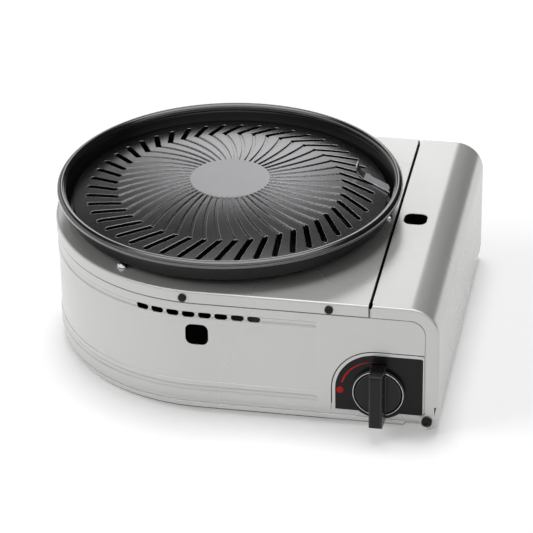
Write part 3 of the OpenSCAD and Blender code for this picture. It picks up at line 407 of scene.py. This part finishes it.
def cover_edge(p):
    aside, above = p.x - (BODY_RIGHT - CORNER_R), p.z - (TOP_Z - CORNER_R)
    if aside > 0 and above > 0:
        way, rise = Vector((aside, 0, above)).normalized(), math.hypot(aside, above)
    elif above >= 0:
        way, rise = Vector((0, 0, 1)), above
    else:
        way, rise = Vector((1, 0, 0)), aside
    new_out, new_rise = tighter(abs(p.y), rise, BODY_R, CORNER_R)
    moved = p + way * (new_rise - rise)
    moved.y = math.copysign(new_out, p.y)
    return moved


reshaped("top_plate", "casing", top_edge)
reshaped("cartridge_cover", "cover", cover_edge)

# %% [markdown]
# The base pan is drawn from one sheet, and its lowest edge is nearly as sharp as the top's. The pan could be bent
# anew all round, but at its right end the cover's ears turn close to it, and the wider rounding leaves them room. So
# the rule stops there, and two cuts through the pan keep the change between both roundings short.

# %% Lower edge
PAN_R, PAN_ROUND_WAS, PAN_ROUND_NOW = 0.12765, 0.0064, 0.0022
WALL_R, PAN_LOW, PAN_SHEET = 0.12855, 0.0039, 0.0009
PAN_CUTS = (0.148, 0.150)


def pan_edge(p):
    out, way = outward(p)
    a, b = out - PAN_R + PAN_ROUND_WAS, PAN_LOW + PAN_ROUND_WAS - p.z
    reach = math.hypot(a, b)
    in_sheet = -PAN_SHEET < reach - PAN_ROUND_WAS < WELD
    if p.x > PAN_CUTS[1] - WELD or min(a, b) < -WELD or not in_sheet:
        return p
    share = (reach - PAN_ROUND_WAS + PAN_ROUND_NOW) / reach
    moved = p + way * (WALL_R - PAN_ROUND_NOW + a * share - out)
    moved.z = PAN_LOW + PAN_ROUND_NOW - b * share
    return moved


reshaped("base_pan", "casing", pan_edge, PAN_CUTS)

# %% [markdown]
# The bezel is a frame in a cut-out of the wall, and a thin gap shows on its left and above it, dark with painted
# shade from the bezel's finish. The cut-out could be made larger, but the wall is right as it is. So the copy of the
# frame shrinks a little towards its lower right corner.

# %% Bezel
BEZEL_SHRINK = 0.0003
bezel_low, bezel_high = [corner - TRAY_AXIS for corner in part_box("control_bezel")]


def bezel_rim(p):
    x = bezel_high.x - (bezel_high.x - p.x) * (1 - BEZEL_SHRINK / (bezel_high.x - bezel_low.x))
    z = bezel_low.z + (p.z - bezel_low.z) * (1 - BEZEL_SHRINK / (bezel_high.z - bezel_low.z))
    return Vector((x, p.y, z))


reshaped("control_bezel", "casing", bezel_rim)

# %% [markdown]
# The lifting tab is a bent strip that lies aslant. A plain scale would change its slant as well as its width. So the
# rule measures how far a point lies behind the strip's front edge, and shortens that. The plate turns a little about
# its axis, so that its slots stand as they do in the photograph.

# %% Tab and plate
TAB_SLANT, TAB_SHARE = -0.53, 0.68
PLATE_TURN = math.radians(-0.9)
tab_points = [v.co - TRAY_AXIS for v in nodes["lifting_tab"].data.vertices]
tab_near = min(p.y - TAB_SLANT * p.x for p in tab_points)


def narrow_tab(p):
    depth = p.y - TAB_SLANT * p.x - tab_near
    return p - Vector((0, (1 - TAB_SHARE) * depth, 0))


def turned_plate(p):
    return p @ Matrix.Rotation(-PLATE_TURN, 3, "Z")


reshaped("lifting_tab", "plate", narrow_tab)
reshaped("grill_plate", "plate", turned_plate)

# %% [markdown]
# The bright ring of the knob is a thin trim. Scaled as a whole it would come away from the knob, so the copy keeps
# its inner edge and loses three tenths of its width.

# %% Knob ring
RING_SHARE = 0.7
ring_mid = sum(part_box("knob_ring"), Vector()) / 2 - TRAY_AXIS
ring_inner = min(math.hypot(v.co.x - TRAY_AXIS.x - ring_mid.x, v.co.z - ring_mid.z)
                 for v in nodes["knob_ring"].data.vertices)


def thin_ring(p):
    across = Vector((p.x - ring_mid.x, 0, p.z - ring_mid.z))
    return p - across.normalized() * (across.length - ring_inner) * (1 - RING_SHARE)


reshaped("knob_ring", "control", thin_ring)

# %% [markdown]
# ## Shared effects
# Several finishes share an effect, such as soft edges or grain. Its nodes could be repeated in each tree, but as a
# group with named sockets they are built once, and each finish places the group with its own numbers.

# %% Group helper
FLOAT, VECTOR = "NodeSocketFloat", "NodeSocketVector"
ENTRY_AT = (-900, 0)


def new_group(name, inputs, outputs):
    tree = bpy.data.node_groups.new(name, "ShaderNodeTree")
    for label, kind, value in inputs:
        socket = tree.interface.new_socket(name=label, in_out="INPUT", socket_type=kind)
        socket.default_value = value
    for label, kind in outputs:
        tree.interface.new_socket(name=label, in_out="OUTPUT", socket_type=kind)
    entry = add_node(tree, "NodeGroupInput", ENTRY_AT)
    leave = add_node(tree, "NodeGroupOutput", OUTPUT_AT)
    return tree, entry.outputs, leave.inputs


print("group helper ready")

# %% [markdown]
# Sheet metal, castings and plastics all have softened edges. They could be bevelled in the mesh, at the price of many
# more faces. The Bevel node rounds only the normal next to an edge and leaves the solid as it is. Where the rounded
# normal and the plain one part, the group gives out a mask of the edge, for paler edges: painted highlights and wear.

# %% Soft edge group
BEVEL_SAMPLES = 6
EDGE_SEEN = (0.99, 0.80)
soft_edge, given, made = new_group(
    "soft_edge",
    [("Radius", FLOAT, 0.0004)],
    [("Normal", VECTOR), ("Edge", FLOAT)],
)
rounding = add_node(soft_edge, "ShaderNodeBevel", samples=BEVEL_SAMPLES)
join(soft_edge, given["Radius"], rounding.inputs["Radius"])
flat = add_node(soft_edge, "ShaderNodeNewGeometry")
agree = add_node(soft_edge, "ShaderNodeVectorMath", operation="DOT_PRODUCT")
join(soft_edge, rounding.outputs["Normal"], agree.inputs[0])
join(soft_edge, flat.outputs["Normal"], agree.inputs[1])
join(soft_edge, rounding.outputs["Normal"], made["Normal"])
join(soft_edge, map_range(soft_edge, agree.outputs["Value"], *EDGE_SEEN, 0.0, 1.0), made["Edge"])
print("group:", soft_edge.name)

# %% [markdown]
# Every surface has a grain: specks as small as the flakes in a lacquer, and a broad drift such as hands and heat
# leave. A picture of it would have to be laid out over each solid. Two noises in the solid's own coordinates need no
# layout and don't stretch.

# %% Grain group
HALF = 0.5
grain, given, made = new_group(
    "grain",
    [("Fine", FLOAT, 2400.0), ("Broad", FLOAT, 9.0), ("Contrast", FLOAT, 1.0)],
    [("Speck", FLOAT), ("Drift", FLOAT), ("Height", FLOAT)],
)
place = add_node(grain, "ShaderNodeTexCoord")
speck = add_node(grain, "ShaderNodeTexNoise", inputs={"Detail": 2.0, "Roughness": 0.6})
join(grain, place.outputs["Object"], speck.inputs["Vector"])
join(grain, given["Fine"], speck.inputs["Scale"])
drift = add_node(grain, "ShaderNodeTexNoise", inputs={"Detail": 3.0, "Roughness": 0.5})
join(grain, place.outputs["Object"], drift.inputs["Vector"])
join(grain, given["Broad"], drift.inputs["Scale"])
centred = math_node(grain, "SUBTRACT", speck.outputs["Fac"], HALF)
stretched = math_node(grain, "MULTIPLY", centred, given["Contrast"])
join(grain, math_node(grain, "ADD", stretched, HALF, clamp=True), made["Speck"])
join(grain, drift.outputs["Fac"], made["Drift"])
join(grain, speck.outputs["Fac"], made["Height"])
print("group:", grain.name)

# %% [markdown]
# Some finishes change with place: a gap gets painted shade inside, and only the rim of the tray is lacquered. Some
# faces could get a second material, but then the border would follow the mesh. This group measures a point along an
# axis, in the solid's own coordinates, and gives out a soft step between two places.

# %% Mask along an axis
along, given, made = new_group(
    "along",
    [("Axis", VECTOR, (0.0, 0.0, 1.0)), ("Start", FLOAT, 0.0), ("Stop", FLOAT, 1.0)],
    [("Mask", FLOAT)],
)
place = add_node(along, "ShaderNodeTexCoord")
reach = add_node(along, "ShaderNodeVectorMath", operation="DOT_PRODUCT")
join(along, place.outputs["Object"], reach.inputs[0])
join(along, given["Axis"], reach.inputs[1])
span = add_node(along, "ShaderNodeMapRange", interpolation_type="SMOOTHSTEP")
join(along, reach.outputs["Value"], span.inputs["Value"])
join(along, given["Start"], span.inputs["From Min"])
join(along, given["Stop"], span.inputs["From Max"])
join(along, span.outputs["Result"], made["Mask"])
print("group:", along.name)

# %% [markdown]
# ## Finishes
# Paler edges (painted highlights and wear), painted shade in gaps and on the pan's floor, and a lacquer are extras
# that a finish may ask for. Each could be a shader of its own that is mixed in, but the export reads one shader best.
# So each is a mask that mixes one more colour into the base colour, or feeds the coat. The painted shade on the floor
# lies only on faces that look up.

# %% Masks in a finish
MASK_AT, MIX_AT = (-600, -600), (200, 200)
LYING = (0.95, 0.99)


def place_mask(tree, axis, start, stop):
    given = {"Axis": axis, "Start": start, "Stop": stop}
    return add_node(tree, "ShaderNodeGroup", MASK_AT, given, node_tree=along).outputs["Mask"]


# Painted shade: a mask for upward faces low down inside the burner chamber.
def floor_shade_mask(tree, low, inside):
    facing = add_node(tree, "ShaderNodeSeparateXYZ")
    join(tree, add_node(tree, "ShaderNodeNewGeometry").outputs["Normal"], facing.inputs[0])
    lying = map_range(tree, facing.outputs["Z"], *LYING, 0.0, 1.0)
    return product(tree, lying, place_mask(tree, *low), place_mask(tree, *inside))


def mixed(tree, mask, colour, other):
    node = add_node(tree, "ShaderNodeMix", MIX_AT, data_type="RGBA")
    join(tree, mask, node.inputs["Factor"])
    join(tree, colour, node.inputs["A"])
    node.inputs["B"].default_value = (*other, 1)
    return node.outputs["Result"]


print("masks ready")

# %% [markdown]
# No surface has one flat colour. The base colour drifts between two close tones, and the normal is the soft edge with
# a little grain on top. Real displacement would need far more faces, and at this fine scale a bump looks the same.

# %% Tone and relief
TONE_AT, RELIEF_AT = (-200, 200), (200, -300)


def drifting_tone(tree, texture, dark, light):
    blend = math_node(tree, "ADD", texture.outputs["Speck"], texture.outputs["Drift"])
    tone = add_node(tree, "ShaderNodeMix", TONE_AT, data_type="RGBA")
    join(tree, math_node(tree, "MULTIPLY", blend, HALF), tone.inputs["Factor"])
    tone.inputs["A"].default_value = (*dark, 1)
    tone.inputs["B"].default_value = (*light, 1)
    return tone.outputs["Result"]


def relief(tree, texture, rounded, bump, depth):
    node = add_node(tree, "ShaderNodeBump", RELIEF_AT, {"Strength": bump, "Distance": depth})
    join(tree, texture.outputs["Height"], node.inputs["Height"])
    join(tree, rounded.outputs["Normal"], node.inputs["Normal"])
    return node.outputs[0]


print("tone and relief ready")

# %% [markdown]
# One recipe covers all finishes: a Principled shader with the tone and the relief from above, whose roughness follows
# the drift. A tree for each finish would repeat the same nodes. The plain numbers stay on the shader's own sockets.

# %% Finish recipe
TEXTURE_AT, EDGE_AT, SHADER_AT = (-600, 0), (-600, -300), (600, 0)
COAT_IOR, COAT_ROUGH = 2.0, 0.14
DRIFT_SPAN = (0.3, 0.7)


def finish(name, dark, light, rough, metallic=0.0, fine=2400.0, broad=9.0, contrast=1.0, edge=0.0004,
           bump=0.05, depth=0.00002, wear_and_highlight=None, specular=0.5, shades=(), lacquer=None, floor_shade=None):
    material, tree = blank_material(name)
    plain = {"Metallic": metallic, "Specular IOR Level": specular}
    shader = add_node(tree, "ShaderNodeBsdfPrincipled", SHADER_AT, plain)
    show(tree, shader.outputs[0])
    scales = {"Fine": fine, "Broad": broad, "Contrast": contrast}
    texture = add_node(tree, "ShaderNodeGroup", TEXTURE_AT, scales, node_tree=grain)
    rounded = add_node(tree, "ShaderNodeGroup", EDGE_AT, {"Radius": edge}, node_tree=soft_edge)

    colour = drifting_tone(tree, texture, dark, light)
    # Paler edges: a painted highlight on most finishes, and wear.
    if wear_and_highlight:
        colour = mixed(tree, rounded.outputs["Edge"], colour, wear_and_highlight)
    # Each mask mixes one colour in: painted shade in the casing's gaps, fading ink on the print.
    for axis, start, stop, shaded in shades:
        colour = mixed(tree, place_mask(tree, axis, start, stop), colour, shaded)
    # Painted shade on the pan's floor under the burner.
    if floor_shade:
        low, inside, shade_colour = floor_shade
        colour = mixed(tree, floor_shade_mask(tree, low, inside), colour, shade_colour)
    join(tree, colour, shader.inputs["Base Color"])
    if lacquer:
        shader.inputs["Coat IOR"].default_value = COAT_IOR
        shader.inputs["Coat Roughness"].default_value = COAT_ROUGH
        join(tree, place_mask(tree, *lacquer), shader.inputs["Coat Weight"])
    join(tree, map_range(tree, texture.outputs["Drift"], *DRIFT_SPAN, *rough), shader.inputs["Roughness"])
    join(tree, relief(tree, texture, rounded, bump, depth), shader.inputs["Normal"])
    return material


def dress(material, *names):
    for name in names:
        slots = shapes[name].data.materials
        slots.clear()
        slots.append(material)
    print(material.name, "on", ", ".join(names))


print("finish recipe ready")

# %% [markdown]
# ### Casing
# The casing is pressed from thin sheet and has a satin silver lacquer: metal flakes in a clear binder, so it mirrors
# softly and sparkles very finely. Pure metal would look like bare steel and pure paint would look dull, so the shader
# stands halfway between them. Its edges are painted paler, as a highlight. Painted shade darkens the top in its
# gutter and along the skirt's lower lip, the bezel behind the wall, and the pan's floor under the burner, so that the
# seams and the vents look black.

# %% Silver lacquer
LEFT, RIGHT, BACK, UP, DOWN = (-1, 0, 0), (1, 0, 0), (0, 1, 0), (0, 0, 1), (0, 0, -1)
# Colours of painted shade: black for gaps, dark grey for the skirt's lip, black for the pan's floor.
GAP_SHADE_BLACK, LIP_SHADE_GREY, FLOOR_SHADE_BLACK = (0.004, 0.004, 0.004), (0.04, 0.04, 0.04), (0.012, 0.012, 0.012)
# Painted shade: the top's gutter beside the cover is painted black.
SEAM_SHADE = (RIGHT, 0.1009, 0.1011, GAP_SHADE_BLACK)
# Painted shade: the skirt's lower lip is painted dark grey, a shadow line under the top.
SKIRT_SHADE = (DOWN, -0.0921, -0.0918, LIP_SHADE_GREY)
# Painted shade: the bezel is painted black behind the wall, so the gap beside it looks dark.
BEZEL_SHADE = (BACK, -0.1213, -0.1209, GAP_SHADE_BLACK)
# Painted shade darkens the pan's floor inside the burner chamber.
CHAMBER_SHADE = ((DOWN, -0.0062, -0.0058), (LEFT, -0.074, -0.070), FLOOR_SHADE_BLACK)
# Its paler edges are a painted highlight.
SILVER = dict(dark=(0.58, 0.582, 0.566), light=(0.66, 0.662, 0.645), rough=(0.25, 0.29), metallic=0.48, fine=2600.0,
              broad=6.0, contrast=2.2, edge=0.0005, bump=0.10, depth=0.00003, wear_and_highlight=(0.92, 0.92, 0.91))
dress(finish("silver_lacquer", **SILVER), "side_wall", "cartridge_cover")
dress(finish("silver_pan", floor_shade=CHAMBER_SHADE, **SILVER), "base_pan")
dress(finish("silver_top", shades=(SEAM_SHADE, SKIRT_SHADE), **SILVER), "top_plate")
dress(finish("silver_bezel", shades=(BEZEL_SHADE,), **SILVER), "control_bezel")

# %% [markdown]
# ### Tray and grill plate
# Both are coated black so that food doesn't stick. The tray is satin black, and only its rolled rim is lacquered. Two
# materials would meet in a hard line, so a coat with a mask along the height gives the rim its gloss. The plate greys
# where it mirrors the light, which black paint wouldn't do, so its coating is a dark metal, with its edges painted
# paler as a highlight.

# %% Coatings
RIM_LACQUER = (UP, 0.1172, 0.1190)
tray_black = finish("tray_coating", dark=(0.005, 0.005, 0.006), light=(0.010, 0.010, 0.011), rough=(0.20, 0.26),
                    fine=1500.0, broad=14.0, edge=0.0005, bump=0.05, depth=0.00003, specular=0.2, lacquer=RIM_LACQUER)
dress(tray_black, "water_tray")
# The plate's paler edges are a painted highlight.
plate_black = finish("plate_coating", dark=(0.180, 0.177, 0.183), light=(0.246, 0.243, 0.250), rough=(0.23, 0.28),
                     metallic=1.0, fine=2200.0, broad=10.0, contrast=1.8, edge=0.0006, bump=0.12, depth=0.00004,
                     wear_and_highlight=(0.55, 0.55, 0.56))
dress(plate_black, "grill_plate")

# %% [markdown]
# ### Bright metal
# The studs and the ring of the knob are bare, polished metal, and the lifting tab is rolled strip with a softer shine
# and cut edges painted paler as a highlight. A strong colour would make them look painted. They need the surroundings
# more than they need colour, so they are pale greys, and the tent does the rest.

# %% Bright metal
polished = finish("polished_steel", dark=(0.78, 0.78, 0.79), light=(0.86, 0.86, 0.87), rough=(0.10, 0.18),
                  metallic=1.0, fine=900.0, broad=30.0, edge=0.0003, bump=0.03)
dress(polished, "tray_studs", "knob_ring")
# The tab's paler cut edges are a painted highlight.
strip_steel = finish("strip_steel", dark=(0.62, 0.63, 0.65), light=(0.74, 0.75, 0.77), rough=(0.20, 0.27),
                     metallic=1.0, fine=1800.0, broad=40.0, edge=0.0003, bump=0.05, wear_and_highlight=(0.96, 0.96, 0.97))
dress(strip_steel, "lifting_tab")

# %% [markdown]
# ### Control panel
# The face of the panel and the knob are black plastic. The panel is smooth and dull, and the knob has the fine
# spark-eroded grain of a mould. Pure black would hide every form, so both are very dark greys with a weak mirror, and
# the knob's edges are painted a little paler, as a highlight.

# %% Black plastic
panel_black = finish("panel_plastic", dark=(0.006, 0.006, 0.007), light=(0.009, 0.009, 0.010), rough=(0.30, 0.36),
                     fine=1800.0, broad=25.0, edge=0.0004, bump=0.03, specular=0.2)
dress(panel_black, "knob_panel")
# The knob's paler edges are a painted highlight.
knob_black = finish("knob_plastic", dark=(0.007, 0.007, 0.008), light=(0.012, 0.012, 0.013), rough=(0.18, 0.24),
                    fine=2200.0, broad=60.0, edge=0.0009, bump=0.12, depth=0.00003, specular=0.25,
                    wear_and_highlight=(0.15, 0.15, 0.16))
dress(knob_black, "knob")

# %% [markdown]
# ### Screws, feet and the works inside
# The outer screws are blackened steel, with their edges painted a little paler as a highlight. The feet, the seal,
# the grommet and the ignition lead's sheath are moulded rubber. One black could do for all of them, but steel mirrors
# and rubber scatters, so the rubber is far rougher.

# %% Screws and rubber
# The screws' paler edges are a painted highlight.
screw_black = finish("blackened_screw", dark=(0.010, 0.010, 0.010), light=(0.020, 0.020, 0.020), rough=(0.28, 0.36),
                     metallic=0.1, fine=3000.0, broad=200.0, edge=0.0003, wear_and_highlight=(0.09, 0.09, 0.09), specular=0.15)
dress(screw_black, "skirt_screws", "pivot_screws")
rubber = finish("foot_rubber", dark=(0.012, 0.012, 0.012), light=(0.024, 0.024, 0.024), rough=(0.62, 0.75),
                fine=1600.0, broad=80.0, edge=0.0006, bump=0.15, depth=0.00004)
dress(rubber, "feet", "gas_seal", "lead_grommet", "ignition_lead")

# %% [markdown]
# Inside there is galvanised sheet with its uneven bloom, and die-cast metal with a coarse skin. Both are grey metal,
# and could share a finish, but they lie side by side when the cover is open. So each has a grain of its own.

# %% Sheet and castings
zinc = finish("zinc_sheet", dark=(0.50, 0.51, 0.53), light=(0.66, 0.67, 0.69), rough=(0.30, 0.46), metallic=1.0,
              fine=700.0, broad=120.0, contrast=1.4, edge=0.0004)
dress(zinc, "foot_screws", "floor_screws", "partition", "receiver_plate", "burner_bracket", "cartridge_cradle")
cast = finish("die_casting", dark=(0.46, 0.46, 0.46), light=(0.60, 0.60, 0.60), rough=(0.38, 0.52), metallic=1.0,
              fine=1300.0, broad=60.0, edge=0.0006, bump=0.2, depth=0.00006)
dress(cast, "governor", "valve_body", "burner_bowl")

# %% [markdown]
# The gas nozzle and the spindle are turned from brass bar. The burner cap and the mixing tube get hot, so they have a
# dark enamel, and the magnets of the receiver are as dark. Pure metal would shine too much for enamel, so its shader
# is mostly paint, with coarser bumps.

# %% Brass and enamel
brass = finish("turned_brass", dark=(0.56, 0.40, 0.16), light=(0.70, 0.52, 0.24), rough=(0.20, 0.30), metallic=1.0,
               fine=2000.0, broad=90.0, edge=0.0003)
dress(brass, "gas_nozzle", "knob_spindle")
iron = finish("burner_enamel", dark=(0.05, 0.05, 0.05), light=(0.09, 0.085, 0.08), rough=(0.46, 0.62), metallic=0.3,
              fine=1100.0, broad=50.0, edge=0.0005, bump=0.2, depth=0.00006, wear_and_highlight=(0.16, 0.15, 0.14))
dress(iron, "burner_cap", "receiver_magnets", "mixing_tube")

# %% [markdown]
# The igniter is a small block of ivory plastic. Its electrode is a steel pin, browned by the flame, in a tube of
# glazed porcelain. They are small and deep inside, so the plain recipe with three tones is enough.

# %% Igniter
ivory = finish("igniter_plastic", dark=(0.72, 0.70, 0.62), light=(0.80, 0.78, 0.70), rough=(0.26, 0.34), fine=1500.0,
               broad=50.0)
dress(ivory, "piezo_igniter")
porcelain = finish("glazed_porcelain", dark=(0.80, 0.80, 0.77), light=(0.88, 0.88, 0.85), rough=(0.10, 0.16),
                   fine=900.0, broad=60.0, bump=0.02)
dress(porcelain, "electrode_insulator")
heated = finish("heated_steel", dark=(0.42, 0.38, 0.34), light=(0.56, 0.53, 0.50), rough=(0.28, 0.40), metallic=1.0,
                broad=150.0)
dress(heated, "electrode_pin")

# %% [markdown]
# ## Red marks on the panel
# A red dot shows where the knob lights the burner, and a red stroke that thins out shows the way to a smaller flame.
# On the real panel they are printed. A mask in the panel's material could draw them, but a solid keeps a sharp
# outline. So they are very thin solids that lie on the face and ride with the casing.

# %% Thin print
KNOB_X, KNOB_Z = 0.1085, 0.032
FACE_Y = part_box("knob_panel")[0].y
PRINT = 0.00006


def flat_print(name, outline):
    shape = bmesh.new()
    ring = [shape.verts.new((x, FACE_Y - PRINT, z)) for x, z in outline]
    face = shape.faces.new(ring)
    lifted = bmesh.ops.extrude_face_region(shape, geom=[face])
    for item in lifted["geom"]:
        if isinstance(item, bmesh.types.BMVert):
            item.co.y += PRINT
    bmesh.ops.recalc_face_normals(shape, faces=shape.faces)
    mesh = bpy.data.meshes.new(name)
    shape.to_mesh(mesh)
    shape.free()
    piece = bpy.data.objects.new(name, mesh)
    scene.collection.objects.link(piece)
    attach(piece, "casing")
    return piece


print("print thickness:", PRINT)

# %% [markdown]
# The stroke winds round the knob. A curve with a thickness could draw it, but its turn, its distance from the middle
# and its width all run evenly from one end to the other. So each is a mix of two numbers, and the outline follows
# from them.

# %% Stroke and dot
STROKE_R = (0.0269, 0.0229)
STROKE_TURN = (170.0, 86.0)
STROKE_W = (0.0015, 0.0003)
STROKE_STEPS = 40
DOT_AT, DOT_R, DOT_STEPS = (-0.0277, -0.0017), 0.0026, 36


def between(pair, share):
    return pair[0] + (pair[1] - pair[0]) * share


def stroke_side(sign):
    side = []
    for i in range(STROKE_STEPS + 1):
        share = i / STROKE_STEPS
        turn = math.radians(between(STROKE_TURN, share))
        radius = between(STROKE_R, share) + sign * between(STROKE_W, share) / 2
        side.append((KNOB_X + radius * math.cos(turn), KNOB_Z + radius * math.sin(turn)))
    return side


stroke = flat_print("flame_stroke", stroke_side(1) + stroke_side(-1)[::-1])
dot_x, dot_z = KNOB_X + DOT_AT[0], KNOB_Z + DOT_AT[1]
dot_outline = [(dot_x + DOT_R * math.cos(t), dot_z + DOT_R * math.sin(t)) for t in even_turns(DOT_STEPS)]
dot = flat_print("flame_dot", dot_outline)
print("red marks:", stroke.name, dot.name)

# %% [markdown]
# The ink fades: the stroke runs out into the black of the panel towards its thin end, and the dot is darker towards
# its right. Several shades of ink could be laid side by side, but the mask along an axis gives a smooth change. Both
# fades are measured from the middle of the knob.

# %% Red ink
PRINT_DARK = (0.016, 0.007, 0.008)
STROKE_FADE, DOT_FADE = (-0.013, 0.001), (-0.0275, -0.0235)
STROKE_SHADE = (RIGHT, KNOB_X + STROKE_FADE[0], KNOB_X + STROKE_FADE[1], PRINT_DARK)
DOT_SHADE = (RIGHT, KNOB_X + DOT_FADE[0], KNOB_X + DOT_FADE[1], PRINT_DARK)
RED = dict(dark=(0.48, 0.007, 0.007), light=(0.60, 0.012, 0.011), rough=(0.34, 0.42), fine=2600.0, edge=0.00002,
           specular=0.15)
stroke.data.materials.append(finish("red_stroke", shades=(STROKE_SHADE,), **RED))
dot.data.materials.append(finish("red_dot", shades=(DOT_SHADE,), **RED))
print("ink on:", stroke.name, dot.name)
